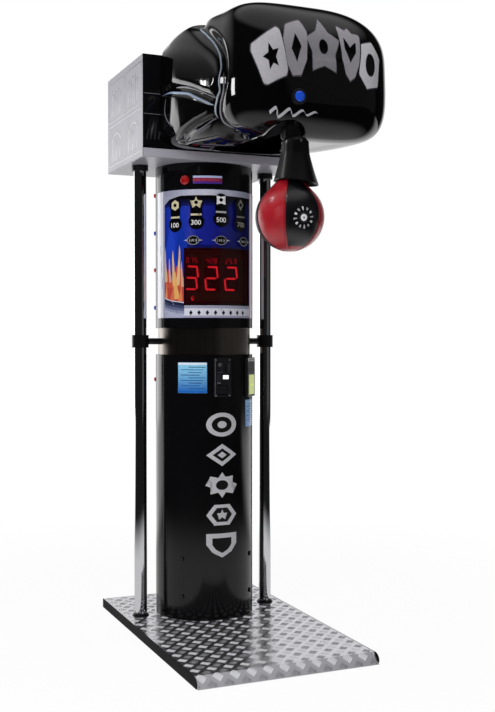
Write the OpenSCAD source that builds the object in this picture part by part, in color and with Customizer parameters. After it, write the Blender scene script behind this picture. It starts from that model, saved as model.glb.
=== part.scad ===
// Boxing arcade machine: a strike ball hangs from a moulded glove on a round column over a tread plate.
// Millimetres. The origin is on the floor at the column's axis, -Y is the front, +Z is up.
// Angles around the column count from the front, positive towards +X.

/* [Base] */
// Width of the floor plate
base_w = 660; // [600:10:800]
// From the column's axis to the front edge of the floor plate
base_front = 800; // [650:10:1000]
// From the column's axis to the back edge of the floor plate
base_back = 300; // [270:10:400]
// Height of the tread plate's top over the floor
base_h = 36; // [30:1:60]
// Thickness of the tread plate
tread_t = 3; // [2:0.5:5]
// Depth of the sloped nose at the front
nose_d = 35; // [20:1:60]
// Thickness of the edge trims
trim_t = 3; // [2:0.5:5]
// Thickness of the frame's flat bars
bar_t = 6; // [4:1:10]
// Height of the rubber feet
foot_h = 3; // [2:0.5:6]
// Radius of the rubber feet
foot_r = 25; // [15:1:35]

/* [Column] */
// Outer radius of the column
col_r = 190; // [170:5:200]
// Thickness of the column's sheet
col_t = 3; // [2:0.5:4]
// Top of the lower tube
lower_top = 1040; // [1030:5:1060]
// Bottom of the upper tube
upper_low = 1142; // [1120:2:1150]
// Outer radius of the bright sleeve between the tubes
band_r = 180; // [160:1:181]
// Height of the sleeve inside the foot of the column
foot_sleeve_h = 264; // [250:2:300]
// Angle of the foot bolts off the front
bolt_angle = 47.5; // [44:0.5:49]
// Heights of the foot bolts over the floor
bolt_z = [123, 266];
// Radius of the foot bolts' shanks
bolt_r = 5; // [3:0.5:6]

/* [Display] */
// Bottom of the display panel
panel_low = 1179; // [1160:1:1200]
// Top of the display panel
panel_top = 1662; // [1640:1:1670]
// Bottom of the display window
window_low = 1236; // [1220:1:1250]
// Top of the display window
window_top = 1438; // [1420:1:1450]
// Half of the window's angle
window_a = 44.5; // [40:0.5:45]
// From the column's axis to the display board's face
board_y = 122; // [116:1:124]
// Height of the large digits
digit_h = 98; // [80:1:100]
// Width of the large digits
digit_w = 60; // [50:1:64]
// Spacing of the large digits
digit_pitch = 79; // [70:1:80]
// Sideways place of the middle digit
digit_x = -19; // [-20:1:0]
// Middle height of the large digits
digit_z = 1331; // [1320:1:1340]
// Radius of the side lamps
lamp_r = 9; // [6:0.5:12]
// Angle of the side lamps
lamp_a = 111; // [100:1:130]
// Heights of the red side lamps
lamps_red_z = [1660, 1369, 941];
// Heights of the blue side lamps
lamps_blue_z = [1513, 1222];

/* [Coin and note entry] */
// Width of the coin plate
coin_w = 68; // [60:1:76]
// Bottom of the coin plate
coin_low = 881; // [870:1:890]
// Height of the coin plate
coin_h = 148; // [140:1:150]
// Thickness of the coin plate at its middle
coin_t = 8; // [6:0.5:12]
// Radius of the reject button
reject_r = 7; // [5:0.5:8]
// Travel of the reject button
reject_travel = 4; // [2:0.5:5]
// Width of the return flap
flap_w = 38; // [30:1:40]
// Height of the return flap
flap_h = 32; // [28:1:34]
// Angle of the note entry
note_a = 46; // [44:1:50]
// Width of the note entry
note_w = 76; // [70:1:80]
// Bottom of the note entry
note_low = 878; // [870:1:885]
// Height of the note entry
note_h = 150; // [140:1:152]

/* [Rear door] */
// Half of the rear door opening's angle
door_a = 38; // [34:1:40]
// Bottom of the rear door opening
door_low = 330; // [325:5:340]
// Top of the rear door opening
door_top = 950; // [930:5:960]
// Radius of the hinge barrels
hinge_r = 7; // [6:0.5:9]
// Radius of the hinge pins
hinge_pin_r = 4; // [3:0.25:4.5]
// Radius of the lock plugs
lock_r = 8; // [6:0.5:9]

/* [Side poles] */
// Outer radius of the side poles
pole_r = 24.15; // [20:0.05:28]
// Wall of the side poles
pole_t = 2; // [1.5:0.5:3]
// From the column's axis to each side pole
pole_x = 262; // [250:1:270]
// Height of the braces between poles and column
brace_z = 1091; // [1080:1:1100]

/* [Head box] */
// Width of the head box
head_w = 630; // [600:10:660]
// From the column's axis to the front of the head box
head_front = 205; // [200:1:220]
// From the column's axis to the back of the head box
head_back = 257; // [240:1:280]
// Bottom of the head box
head_z = 1763; // [1750:1:1780]
// Height of the head box
head_h = 372; // [360:2:400]
// Thickness of the head box panels
head_t = 4; // [3:0.5:6]

/* [Glove] */
// Length of the glove from the box to its front
glove_l = 640; // [620:5:660]
// Wall of the glove
glove_t = 5; // [4:0.5:7]
// Left side of the fist
fist_left = -205; // [-215:1:-195]
// Right side of the fist
fist_right = 388; // [370:1:400]
// Lowest level of the fist below the head box's bottom
fist_drop = 5; // [0:1:15]
// Height of the fist
fist_h = 462; // [440:2:480]
// Half width at the box
wrist_half_w = 250; // [240:1:260]
// Radius of the fist's front corners seen from above
fist_corner_r = 165; // [120:5:180]
// Radius of the fist's upper nose seen from the side
nose_top_r = 210; // [180:5:220]
// Radius of the fist's lower nose seen from the side
nose_low_r = 130; // [110:5:150]
// Share by which the fist narrows towards its top
fist_taper = 0.03; // [0:0.01:0.06]
// How much fuller the glove's upper left and lower right corners are
fist_corner = 0.25; // [0:0.05:0.4]
// Depth of the main crease
crease_d = 24; // [5:1:30]
// Width of the creases
crease_w = 26; // [16:1:34]

/* [Strike ball] */
// Radius of the strike ball
ball_r = 112; // [100:1:114]
// From the arm's pivot to the ball's centre
arm_l = 371; // [360:1:380]
// From the glove's front back to the arm's pivot
pivot_back = 65; // [60:1:70]
// Height of the arm's pivot over the head box's bottom
pivot_dz = 105; // [103:1:108]
// Radius of the arm's shaft
shaft_r = 12.5; // [10:0.5:13]
// Radius of the arm
arm_r = 14; // [12:0.5:15]
// Radius of the boot at its top
boot_top_r = 43; // [38:1:45]
// Radius of the boot at its hem
boot_hem_r = 66; // [56:1:68]
// Radius of the ball's neck
neck_r = 32; // [28:1:36]

/* [Start button] */
// Height of the start button over the head box's bottom
button_dz = 109; // [105:1:115]
// Radius of the start button's cap
button_r = 17; // [14:0.5:18]
// Radius of the start button's bezel
bezel_r = 25; // [22:0.5:26]
// Travel of the start button
button_travel = 4; // [2:0.5:5]

/* [Hidden] */
$fn = 128;
// Running clearance of a shaft in its bore, on the radius
run_c = 0.05;
// Clearance between pieces that seat on each other's curves
seat_c = 0.2;
// Clearance around doors and caps that move
move_c = 0.4;
eps = 0.5;

base_top = base_h;
plate_low = base_h - tread_t;
nose_low = 1.5;
col_in = col_r - col_t;
skin_in = col_in + seat_c;
liner_out = col_in;
liner_in = liner_out - col_t;
band_low = lower_top - 50;
band_top = upper_low + 48;
lip_t = 3;
head_top = head_z + head_h;
glove_front = head_front + glove_l;
pivot_y = glove_front - pivot_back;
pivot_z = head_z + pivot_dz;
button_z = head_z + button_dz;

// Tools

module at(angle, r, z) {
    rotate([0, 0, angle]) translate([0, -r, z]) children();
}

module outward(h, r) {
    rotate([90, 0, 0]) cylinder(h = h, r = r);
}

module along_x(w) {
    translate([-w / 2, 0, 0]) rotate([90, 0, 90]) linear_extrude(w) children();
}

module ring(r_in, r_out, z0, z1) {
    difference() {
        translate([0, 0, z0]) cylinder(h = z1 - z0, r = r_out);
        translate([0, 0, z0 - eps]) cylinder(h = z1 - z0 + 2 * eps, r = r_in);
    }
}

module arc_shell(r_in, r_out, a0, a1, z0, z1) {
    rotate([0, 0, a0 - 90]) rotate_extrude(angle = a1 - a0)
        translate([r_in, z0]) square([r_out - r_in, z1 - z0]);
}

module block(x0, x1, y0, y1, z0, z1) {
    translate([x0, y0, z0]) cube([x1 - x0, y1 - y0, z1 - z0]);
}

function mix(a, b, t) = a + (b - a) * t;
function clamp(v, lo, hi) = min(max(v, lo), hi);

// Base

nose_drop = base_h - nose_low;
nose_a = atan2(nose_drop, nose_d);

module tread_plate() {
    side = tread_t / sin(nose_a);
    inner = tread_t * tan(nose_a / 2);
    crest = -(base_front - nose_d);
    color("silver") along_x(base_w - 2 * trim_t) polygon([
        [base_back, base_top], [crest, base_top], [-base_front, nose_low],
        [-base_front + side, nose_low], [crest + inner, plate_low], [base_back, plate_low]
    ]);
}

frame_x = base_w / 2 - trim_t - bar_t;
frame_front = -(base_front - nose_d) + 6;
frame_bars = 5;
frame_step = 2 * frame_x / (frame_bars - 1);

// Long bars from front to back, short bars welded in between them and a strip under the column
module base_frame() {
    color("#2c2d30") {
        for (i = [0:frame_bars - 1]) {
            x = -frame_x + i * frame_step;
            block(x - bar_t / 2, x + bar_t / 2, frame_front, base_back, foot_h, plate_low);
        }
        for (i = [0:frame_bars - 2]) {
            x0 = -frame_x + i * frame_step;
            x1 = x0 + frame_step;
            for (y = [frame_front, -col_r - 30, base_back - bar_t])
                block(x0, x1, y, y + bar_t, foot_h, plate_low);
            block(x0, x1, -col_r, col_r, plate_low - bar_t, plate_low);
        }
    }
}

module edge_trims() {
    trim_top = base_h + 0.5;
    bend_r = trim_top - 9;
    crest = -(base_front - nose_d) - 4;
    bend = [for (i = [0:8]) let (a = 90 + i * 10)
        [crest + bend_r * cos(a), trim_top - bend_r + bend_r * sin(a)]];
    outline = concat([[base_back, nose_low], [base_back, trim_top]], bend,
        [[crest - bend_r + 4, nose_low]]);
    color("#1b1b1d") for (x = [-1, 1])
        translate([x * (base_w - trim_t) / 2, 0, 0]) along_x(trim_t) polygon(outline);
}

module rubber_feet() {
    foot_x = frame_x - foot_r + bar_t;
    foot_y = [frame_front + foot_r, -col_r - 30, base_back - foot_r];
    color("#151515") {
        cylinder(h = foot_h, r = foot_r);
        for (x = [-1, 1], y = foot_y) translate([x * foot_x, y, 0]) cylinder(h = foot_h, r = foot_r);
    }
}

// Column

foot_flange_t = 6;
foot_flange_in = 120;
sleeve_t = 5;
sleeve_out = col_in - seat_c;

module bolt_places() {
    for (side = [0, 180], a = [-bolt_angle, bolt_angle], z = bolt_z) rotate([0, 0, side + a])
        translate([0, 0, z]) children();
}

module bolt_holes(r) {
    bolt_places() translate([0, -sleeve_out + sleeve_t + 4, 0]) outward(sleeve_t + col_t + 12, r);
}

module column_foot() {
    color("#3a3b3e") difference() {
        union() {
            ring(foot_flange_in, sleeve_out, base_top, base_top + foot_flange_t);
            ring(sleeve_out - sleeve_t, sleeve_out, base_top, base_top + foot_sleeve_h);
        }
        inlet_cut();
        bolt_holes(bolt_r + seat_c);
    }
}

module column_bolts() {
    head_r = 9;
    head_h = 5;
    tail = 12;
    color("#111214") bolt_places() {
        translate([0, -col_r - seat_c, 0]) outward(head_h, head_r);
        translate([0, -col_r + tail, 0]) outward(tail + eps, bolt_r);
    }
}

door_c = 0.4;
hinge_a = 180 - door_a;
hinge_axis_r = col_r + hinge_r + 2;
leaf_t = 4;
leaf_a = 6.5;
knuckle_h = 30;
hinge_z = [door_low + 90, door_top - 150];

module lower_hinges() {
    for (z = hinge_z) {
        at(hinge_a, hinge_axis_r, z) {
            cylinder(h = knuckle_h, r = hinge_r);
            cylinder(h = 2 * knuckle_h, r = hinge_pin_r);
        }
        arc_shell(col_r - eps, col_r + leaf_t, hinge_a - leaf_a, hinge_a - door_c, z, z + knuckle_h);
    }
}

coin_cut_w = coin_w - 16;
mech_low = coin_low + 49;
note_cut_w = note_w - 12;
inlet_w = 28;
inlet_h = 48;
inlet_z = 110;

module inlet_cut() {
    at(180, 0, 0) block(-inlet_w / 2, inlet_w / 2, -col_r - 5, -col_in + 22, inlet_z, inlet_z + inlet_h);
}

// Two rolled half shells, butted and welded along both sides
module tube_half(from, to) {
    arc_shell(col_in, col_r, from, to, base_top, lower_top);
    arc_shell(band_r + seat_c, col_in + eps, from, to, lower_top - lip_t, lower_top);
}

module lower_tube_front() {
    color("#18181a") difference() {
        tube_half(-90, 90);
        block(-coin_cut_w / 2, coin_cut_w / 2, -col_r - 5, -col_in + 20, coin_low + 4, coin_low + coin_h - 8);
        at(note_a, 0, 0) block(-note_cut_w / 2, note_cut_w / 2, -col_r - 5, -col_in + 30,
            note_low + 6, note_low + note_h - 6);
        bolt_holes(bolt_r + seat_c);
    }
}

module lower_tube_rear() {
    color("#18181a") difference() {
        union() {
            tube_half(90, 270);
            lower_hinges();
        }
        arc_shell(col_in - 2, col_r + 1, 180 - door_a, 180 + door_a, door_low, door_top);
        inlet_cut();
        lamp_holes(lamps_red_z);
        bolt_holes(bolt_r + seat_c);
    }
}

// Notches at the sleeve's bottom clear the coin and note units
module band_sleeve() {
    notch_a = 12;
    color("#8b8680") difference() {
        ring(band_r - 2, band_r, band_low, band_top);
        for (a = [0, note_a])
            arc_shell(band_r - 4, band_r + 2, a - notch_a, a + notch_a, band_low - 1, lower_top - 6);
    }
}

rebate = 6;
rebate_a = 2;

module upper_tube() {
    color("#18181a") difference() {
        union() {
            ring(liner_in, liner_out, upper_low, head_z);
            arc_shell(liner_out - eps, col_r, 90, 270, upper_low, head_z);
            arc_shell(liner_out - eps, col_r, -90, 90, upper_low, panel_low - 0.5);
            ring(band_r + seat_c, liner_in + eps, upper_low, upper_low + lip_t);
        }
        arc_shell(liner_in - 2, col_r + 1, -window_a + rebate_a, window_a - rebate_a,
            window_low + rebate, window_top - rebate);
        lamp_holes(concat(lamps_red_z, lamps_blue_z));
    }
}

module header_cover() {
    rim_h = 7;
    color("#101012") arc_shell(skin_in, col_r, -89.7, 89.7, panel_top + 0.5, head_z - rim_h);
}

module display_panel() {
    color("#16307c") difference() {
        arc_shell(skin_in, col_r, -89.7, 89.7, panel_low, panel_top);
        arc_shell(skin_in - 2, col_r + 1, -window_a, window_a, window_low, window_top);
    }
}

module display_window() {
    lens_c = 0.3;
    lens_t = 2.4;
    color("#5a0a0c", 0.5) arc_shell(col_r - lens_t - 0.4, col_r - 0.4, -window_a + lens_c / 2,
        window_a - lens_c / 2, window_low + lens_c, window_top - lens_c);
}

bracket_t = 3;
board_t = 2;
rear_bracket_y = 64;

module cross_plate(y, z0, z1) {
    half = sqrt(pow(liner_in - seat_c, 2) - pow(abs(y) + bracket_t, 2));
    block(-half, half, y < 0 ? y - bracket_t : y, y < 0 ? y : y + bracket_t, z0, z1);
}

front_bracket_y = -(board_y - board_t - 14);

module panel_brackets() {
    color("#9a9a96") {
        cross_plate(front_bracket_y, window_low - 20, window_top + 20);
        cross_plate(rear_bracket_y, window_low - 20, panel_top - 10);
    }
}

module display_board() {
    half = 124;
    stud_r = 4;
    color("#17402a") {
        block(-half, half, -board_y, -board_y + board_t, window_low + 8, window_top - 8);
        for (x = [-1, 1], z = [window_low + 22, window_top - 22])
            translate([x * (half - 14), front_bracket_y - bracket_t, z])
                outward(board_y - board_t + front_bracket_y - bracket_t, stud_r);
    }
}

module led_digits() {
    depth = 9;
    small_h = 24;
    small_w = 58;
    small_z = window_top - 40;
    color("#3a0506") {
        for (i = [-1:1]) translate([digit_x + i * digit_pitch, 0, digit_z])
            block(-digit_w / 2, digit_w / 2, -board_y - depth, -board_y, -digit_h / 2, digit_h / 2);
        for (i = [-1:1]) translate([digit_x + i * digit_pitch, 0, small_z])
            block(-small_w / 2, small_w / 2, -board_y - depth, -board_y, -small_h / 2, small_h / 2);
    }
}

module main_board() {
    board_half = 85;
    board_low = window_low;
    board_top = window_top + 20;
    stud_r = 4;
    color("#1c5a34") {
        block(-board_half, board_half, rear_bracket_y - 10 - board_t, rear_bracket_y - 10,
            board_low, board_top);
        for (x = [-1, 1], z = [board_low + 12, board_top - 12])
            translate([x * (board_half - 10), rear_bracket_y, z]) outward(10, stud_r);
        block(-40, 20, rear_bracket_y - 26, rear_bracket_y - 10 - board_t, board_low + 60, board_low + 120);
        block(40, 74, rear_bracket_y - 20, rear_bracket_y - 10 - board_t, board_low + 40, board_low + 160);
    }
}

module speaker() {
    cone_r = 55;
    magnet_r = 32;
    speaker_z = panel_top - 90;
    color("#222222") translate([0, rear_bracket_y, speaker_z]) rotate([90, 0, 0]) rotate_extrude() polygon([
        [0, 0], [magnet_r, 0], [magnet_r, 16], [magnet_r + 4, 18], [cone_r, 44], [cone_r + 6, 44],
        [cone_r + 6, 48], [cone_r - 4, 48], [20, 28], [0, 28]
    ]);
}

lamp_neck_r = lamp_r - 3;

module lamp_holes(heights) {
    for (z = heights, s = [-1, 1]) at(s * lamp_a, col_r - 12, z) outward(20, lamp_neck_r + seat_c);
}

module lamps(heights) {
    neck_l = 2 * col_t;
    for (z = heights, s = [-1, 1]) at(s * lamp_a, liner_in + 0.3, z) rotate([90, 0, 0]) rotate_extrude() {
        polygon(concat([[0, 0], [lamp_neck_r, 0], [lamp_neck_r, neck_l], [lamp_r, neck_l]],
            [for (i = [0:9]) [lamp_r * cos(i * 10), neck_l + 1 + 0.7 * lamp_r * sin(i * 10)]]));
    }
}

module side_lamps_red() {
    color("#c01818") lamps(lamps_red_z);
}

module side_lamps_blue() {
    color("#1848c8") lamps(lamps_blue_z);
}

card_t = 0.8;
card_from = -52;
card_to = -17.5;
card_low = coin_low + 15;
card_h = 116;
side_card_half = 11;
side_card_h = 104;
side_card_gap = 12;
side_card_low = note_low - side_card_gap - side_card_h;

module card(from, to, low, high) {
    arc_shell(col_r + seat_c, col_r + seat_c + card_t, from, to, low, high);
}

module instruction_cards() {
    color("#2f8fd0") {
        card(card_from, card_to, card_low, card_low + card_h);
        card(note_a - side_card_half, note_a + side_card_half, side_card_low, side_card_low + side_card_h);
    }
}

// Rear door

cam_reach = 34;
cam_half = 6;
cam_t = 3;
plug_back = 15;

module rear_door() {
    lock_z = (door_low + door_top) / 2;
    edge = door_a - door_c;
    color("#18181a") difference() {
        union() {
            arc_shell(col_in, col_r, 180 - edge, 180 + edge, door_low + 2, door_top - 2);
            for (z = hinge_z) {
                at(hinge_a, hinge_axis_r, z + knuckle_h + move_c)
                    cylinder(h = knuckle_h - move_c, r = hinge_r);
                arc_shell(col_r - eps, col_r + leaf_t, hinge_a + door_c, hinge_a + leaf_a,
                    z + knuckle_h + move_c, z + 2 * knuckle_h);
            }
            at(180 + rear_lock_a, col_r - plug_back + 2, lock_z) outward(plug_back, lock_r + 5);
        }
        for (z = hinge_z) at(hinge_a, hinge_axis_r, z + knuckle_h - 1)
            cylinder(h = knuckle_h + 2, r = hinge_pin_r + run_c);
        at(180 + rear_lock_a, col_r - plug_back - 5, lock_z) outward(plug_back + 10, lock_r + run_c);
    }
}

rear_lock_a = door_a - 12;

module lock_cam(reach) {
    plug_l = plug_back + 4;
    translate([0, plug_back, 0]) outward(plug_l, lock_r);
    rotate([90, 0, 0]) translate([0, 0, -plug_back - cam_t]) linear_extrude(cam_t) union() {
        circle(r = lock_r + 2);
        translate([-cam_half, 0]) square([2 * cam_half, reach]);
    }
}

module rear_door_cam() {
    color("#a8a8a8") at(180 + rear_lock_a, col_r, (door_low + door_top) / 2) lock_cam(cam_reach);
}

module door_frame() {
    lip_a = 4;
    out_a = 5;
    color("#26272a") difference() {
        arc_shell(sleeve_out - col_t, sleeve_out, 180 - door_a - out_a, 180 + door_a + out_a,
            door_low - 20, door_top + 20);
        arc_shell(col_in - 8, col_in + 1, 180 - door_a + lip_a, 180 + door_a - lip_a,
            door_low + 14, door_top - 14);
    }
}

// Coin and note entry

cup_top = coin_low + 44;
cup_low = coin_low + 8;
cup_half = flap_w / 2 + 1.5;
cup_back = col_r - 26;
flap_t = 2.5;
flap_pin_r = 2;
flap_y = col_r + 3;
flap_z = cup_top - 5;
slot_x = 12;
reject_x = -14;
reject_z = coin_low + 122;
coin_win = [23, 15];
coin_win_at = [12, coin_low + 75];

module coin_plate() {
    face = col_r + coin_t;
    color("#1d1d1f") difference() {
        union() {
            difference() {
                block(-coin_w / 2, coin_w / 2, -face, -col_r + 10, coin_low, coin_low + coin_h);
                translate([0, 0, coin_low - 1]) cylinder(h = coin_h + 2, r = col_r + seat_c);
            }
            block(-cup_half - 2, cup_half + 2, -col_r - 4, -cup_back, cup_low - 2, cup_top + 2);
            for (z = [coin_low + 52, coin_low + coin_h - 16])
                block(-20, 20, -col_r - 4, -col_r + 6, z, z + 4);
        }
        block(-cup_half, cup_half, -face - 1, -cup_back - 2, cup_low, cup_top);
        translate([0, -flap_y, flap_z]) rotate([0, 90, 0])
            cylinder(h = 2 * cup_half + 5, r = flap_pin_r + run_c, center = true);
        block(slot_x - 1.7, slot_x + 1.7, -face - 1, -col_r + 12, coin_low + 94, coin_low + 124);
        translate([reject_x, -col_r + 10, reject_z]) outward(coin_t + 12, reject_r + move_c);
        block(coin_win_at[0] - coin_win[0] / 2, coin_win_at[0] + coin_win[0] / 2, -face - 1, -face + 4,
            coin_win_at[1] - coin_win[1] / 2, coin_win_at[1] + coin_win[1] / 2);
    }
}

module coin_window() {
    gap = 0.1;
    color("#ffffff") block(coin_win_at[0] - coin_win[0] / 2 + gap, coin_win_at[0] + coin_win[0] / 2 - gap,
        -col_r - coin_t - 0.5, -col_r - coin_t + 4, coin_win_at[1] - coin_win[1] / 2 + gap,
        coin_win_at[1] + coin_win[1] / 2 - gap);
}

module reject_button() {
    color("#c9c9cc") translate([reject_x, -col_r + 4.5, reject_z]) {
        outward(coin_t + 4.5 + reject_travel, reject_r);
        outward(2, reject_r + 2.5);
    }
}

module return_flap() {
    color("#2a2a2c") union() {
        translate([0, -flap_y, flap_z]) rotate([0, 90, 0])
            cylinder(h = 2 * cup_half + 3, r = flap_pin_r, center = true);
        block(-flap_w / 2, flap_w / 2, -flap_y - flap_t / 2, -flap_y + flap_t / 2,
            flap_z - flap_h + 4, flap_z);
    }
}

mech_half = 24;
mech_front = 12;
mech_depth = 68;
mech_tab = 6;
mech_top = coin_low + coin_h - 9;
chute_half = 14;
chute_front = 40;
chute_depth = 30;
chute_l = 330;

// Two tabs reach forward to the coin plate, and a chute hangs down over the cash box
module coin_mech() {
    front = -col_r + mech_front;
    color("#55585c") {
        block(-mech_half, mech_half, front, front + mech_depth, mech_low, mech_top);
        for (z = [mech_low, mech_top - mech_tab])
            block(-mech_half, mech_half, -col_r + 6.2, front, z, z + mech_tab);
        block(-chute_half, chute_half, -col_r + chute_front, -col_r + chute_front + chute_depth,
            mech_low - chute_l, mech_low);
    }
}

note_mouth_low = note_low + 8;
note_mouth_h = 76;

module note_acceptor() {
    half = note_w / 2;
    face = col_r + 9;
    color("#161618") at(note_a, 0, 0) difference() {
        union() {
            difference() {
                block(-half, half, -face, -col_r + 10, note_low, note_low + note_h);
                translate([0, 0, note_low - 1]) cylinder(h = note_h + 2, r = col_r + seat_c);
            }
            block(-half + 7, half - 7, -col_r - 3, -col_r + 70, note_low + 7, note_low + note_h - 7);
        }
        block(-half + 12, half - 12, -face - 1, -col_r + 8, note_mouth_low, note_mouth_low + note_mouth_h);
    }
}

module note_mouth() {
    half = note_w / 2 - 12.2;
    face = col_r + 11;
    color("#c8d860") at(note_a, 0, 0) difference() {
        block(-half, half, -face, -col_r + 7.8, note_mouth_low + 0.2, note_mouth_low + note_mouth_h - 0.2);
        block(-half + 7, half - 7, -face - 1, -face + 14, note_mouth_low + 34, note_mouth_low + 40);
    }
}

shelf_z = door_low + 24;
shelf_t = 3;
shelf_back = (col_in - 12) * cos(door_a + 7);

module cash_shelf() {
    color("#77787a") difference() {
        translate([0, 0, shelf_z]) cylinder(h = shelf_t, r = col_in - seat_c);
        block(-col_r, col_r, shelf_back, col_r, shelf_z - 1, shelf_z + shelf_t + 1);
    }
}

module cash_box() {
    box_w = 180;
    box_d = 165;
    box_h = 190;
    wall = 2;
    color("#8c8d8f") difference() {
        block(-box_w / 2, box_w / 2, shelf_back - box_d - 4, shelf_back - 4, shelf_z + shelf_t,
            shelf_z + shelf_t + box_h);
        block(-box_w / 2 + wall, box_w / 2 - wall, shelf_back - box_d - 4 + wall, shelf_back - 4 - wall,
            shelf_z + shelf_t + wall, shelf_z + shelf_t + box_h + 1);
    }
}

module power_supply() {
    color("#a5a7a8") block(-75, 75, -col_in + 62, col_in - 70, base_top + foot_flange_t,
        base_top + foot_flange_t + 62);
}

module mains_inlet() {
    flange = 5;
    half = inlet_w / 2;
    color("#101010") at(180, 0, 0) difference() {
        union() {
            difference() {
                block(-half - flange, half + flange, -col_r - 3, -col_r + 8, inlet_z - flange,
                    inlet_z + inlet_h + flange);
                translate([0, 0, inlet_z - 10]) cylinder(h = inlet_h + 20, r = col_r + seat_c);
            }
            block(-half + seat_c, half - seat_c, -col_r - 2, -col_in + 18, inlet_z + seat_c,
                inlet_z + inlet_h - seat_c);
        }
        block(-9, 9, -col_r - 4, -col_r + 12, inlet_z + 12, inlet_z + inlet_h - 12);
    }
}

// Side poles

socket_t = 5;

module pole(x) {
    color("#c8c8cc") translate([x, 0, 0]) ring(pole_r - pole_t, pole_r, base_top, head_z);
}

module left_pole() {
    pole(-pole_x);
}

module right_pole() {
    pole(pole_x);
}

module pole_sockets() {
    flange_r = pole_r + 8;
    flange_t = 3;
    low_h = 8;
    high_h = 22;
    color("#26272a") for (x = [-pole_x, pole_x]) translate([x, 0, 0]) {
        ring(pole_r + seat_c, flange_r, base_top, base_top + flange_t);
        ring(pole_r + seat_c, pole_r + socket_t - 1, base_top + flange_t, base_top + low_h);
        ring(pole_r + seat_c, pole_r + socket_t + 2, head_z - high_h, head_z);
    }
}

module brace(side) {
    clamp_h = 48;
    clamp_t = 8;
    bar_r = 12;
    color("#141416") translate([side * pole_x, 0, brace_z]) {
        ring(pole_r + seat_c, pole_r + clamp_t, -clamp_h / 2, clamp_h / 2);
        difference() {
            rotate([0, -side * 90, 0]) cylinder(h = pole_x - band_r + 2, r = bar_r);
            cylinder(h = clamp_h, r = pole_r + clamp_t - 1, center = true);
            translate([-side * pole_x, 0, 0]) cylinder(h = clamp_h, r = band_r + seat_c, center = true);
        }
    }
}

module pole_braces() {
    brace(-1);
    brace(1);
}

// Head box

head_half = head_w / 2;
head_hinge_r = 5.5;
head_pin_r = 3;
head_hinge = [head_half - 2, head_back + head_hinge_r + 0.5];
head_hinge_z = [head_z + 60, head_top - 110];
head_knuckle_h = 24;

module head_floor() {
    color("#d8d8da") block(-head_half, head_half, -head_front, head_back, head_z, head_z + head_t);
}

module head_front_panel() {
    color("#17181a") block(-head_half, head_half, -head_front, -head_front + head_t,
        head_z + head_t, head_top);
}

module head_shell() {
    inner = head_half - head_t;
    color("#d6d6da") {
        for (s = [-1, 1]) block(s < 0 ? -head_half : inner, s < 0 ? -inner : head_half,
            -head_front + head_t, head_back, head_z + head_t, head_top);
        block(-inner, inner, -head_front + head_t, head_back, head_top - head_t, head_top);
        block(-inner - eps, -inner + 21, head_back - 14, head_back - 11,
            head_lock[1] - 22, head_lock[1] + 22);
        for (z = head_hinge_z) {
            block(head_half - head_t, head_half, head_back - 1, head_hinge[1], z, z + head_knuckle_h);
            translate([head_hinge[0], head_hinge[1], z]) {
                cylinder(h = head_knuckle_h, r = head_hinge_r);
                cylinder(h = 2 * head_knuckle_h, r = head_pin_r);
            }
        }
    }
}

head_lock = [-head_half + 45, head_z + head_h / 2];

module head_rear_door() {
    edge = head_half - head_t - 2;
    leaf_w = 30;
    color("#c9c9cd") difference() {
        union() {
            block(-edge, edge, head_back - head_t, head_back, head_z + head_t + 2, head_top - head_t - 2);
            for (z = head_hinge_z) {
                z0 = z + head_knuckle_h + move_c;
                z1 = z + 2 * head_knuckle_h;
                translate([head_hinge[0], head_hinge[1], z0]) cylinder(h = z1 - z0, r = head_hinge_r);
                block(edge - leaf_w, edge, head_back - eps, head_back + 3, z0, z1);
                block(edge - eps, head_hinge[0], head_back + move_c, head_back + 3, z0, z1);
            }
            translate([head_lock[0], head_back - plug_back + 2, head_lock[1]])
                rotate([180, 0, 0]) outward(plug_back, lock_r + 5);
        }
        for (z = head_hinge_z) translate([head_hinge[0], head_hinge[1], z + head_knuckle_h - 1])
            cylinder(h = head_knuckle_h + 2, r = head_pin_r + run_c);
        translate([head_lock[0], head_back - plug_back - 5, head_lock[1]])
            rotate([180, 0, 0]) outward(plug_back + 10, lock_r + run_c);
    }
}

module head_door_cam() {
    color("#a8a8a8") translate([head_lock[0], head_back, head_lock[1]]) rotate([0, 0, 180])
        lock_cam(cam_reach);
}

// Glove
// Each section across the glove is a superellipse: distance ahead of the column's axis, middle x,
// half width, lowest and highest level over the head box's bottom, and exponent.

fist_mid = (fist_left + fist_right) / 2;
fist_half = (fist_right - fist_left) / 2;
fist_low = -fist_drop;
fist_high = fist_h - fist_drop;
wrist_low = 37;
wrist_high = 415;
dome_high = 443;
glove_stations = [
    [head_front, 0, wrist_half_w, wrist_low, wrist_high, 6.6],
    [head_front + 0.225 * glove_l, 0, wrist_half_w + 6, (wrist_low + fist_low) / 2 - 5, dome_high, 5],
    [head_front + 0.46 * glove_l, fist_mid * 0.45, (wrist_half_w + 6 + fist_half) / 2, fist_low,
        (dome_high + fist_high) / 2, 3.8],
    [head_front + 0.68 * glove_l, fist_mid, fist_half, fist_low, fist_high, 3.4]
];
last_station = len(glove_stations) - 1;

function station_pair(d, i = 0) =
    i >= last_station - 1 || d <= glove_stations[i + 1][0] ? i : station_pair(d, i + 1);
function station_mix(d) =
    let (i = station_pair(d), a = glove_stations[i], b = glove_stations[i + 1],
        t = clamp((d - a[0]) / (b[0] - a[0]), 0, 1))
    [for (k = [0:5]) mix(a[k], b[k], t)];
function nose_cut(half, r, d) =
    let (ahead = d - (glove_front - r)) ahead <= 0 ? half : half - r + sqrt(max(0, r * r - ahead * ahead));
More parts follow.
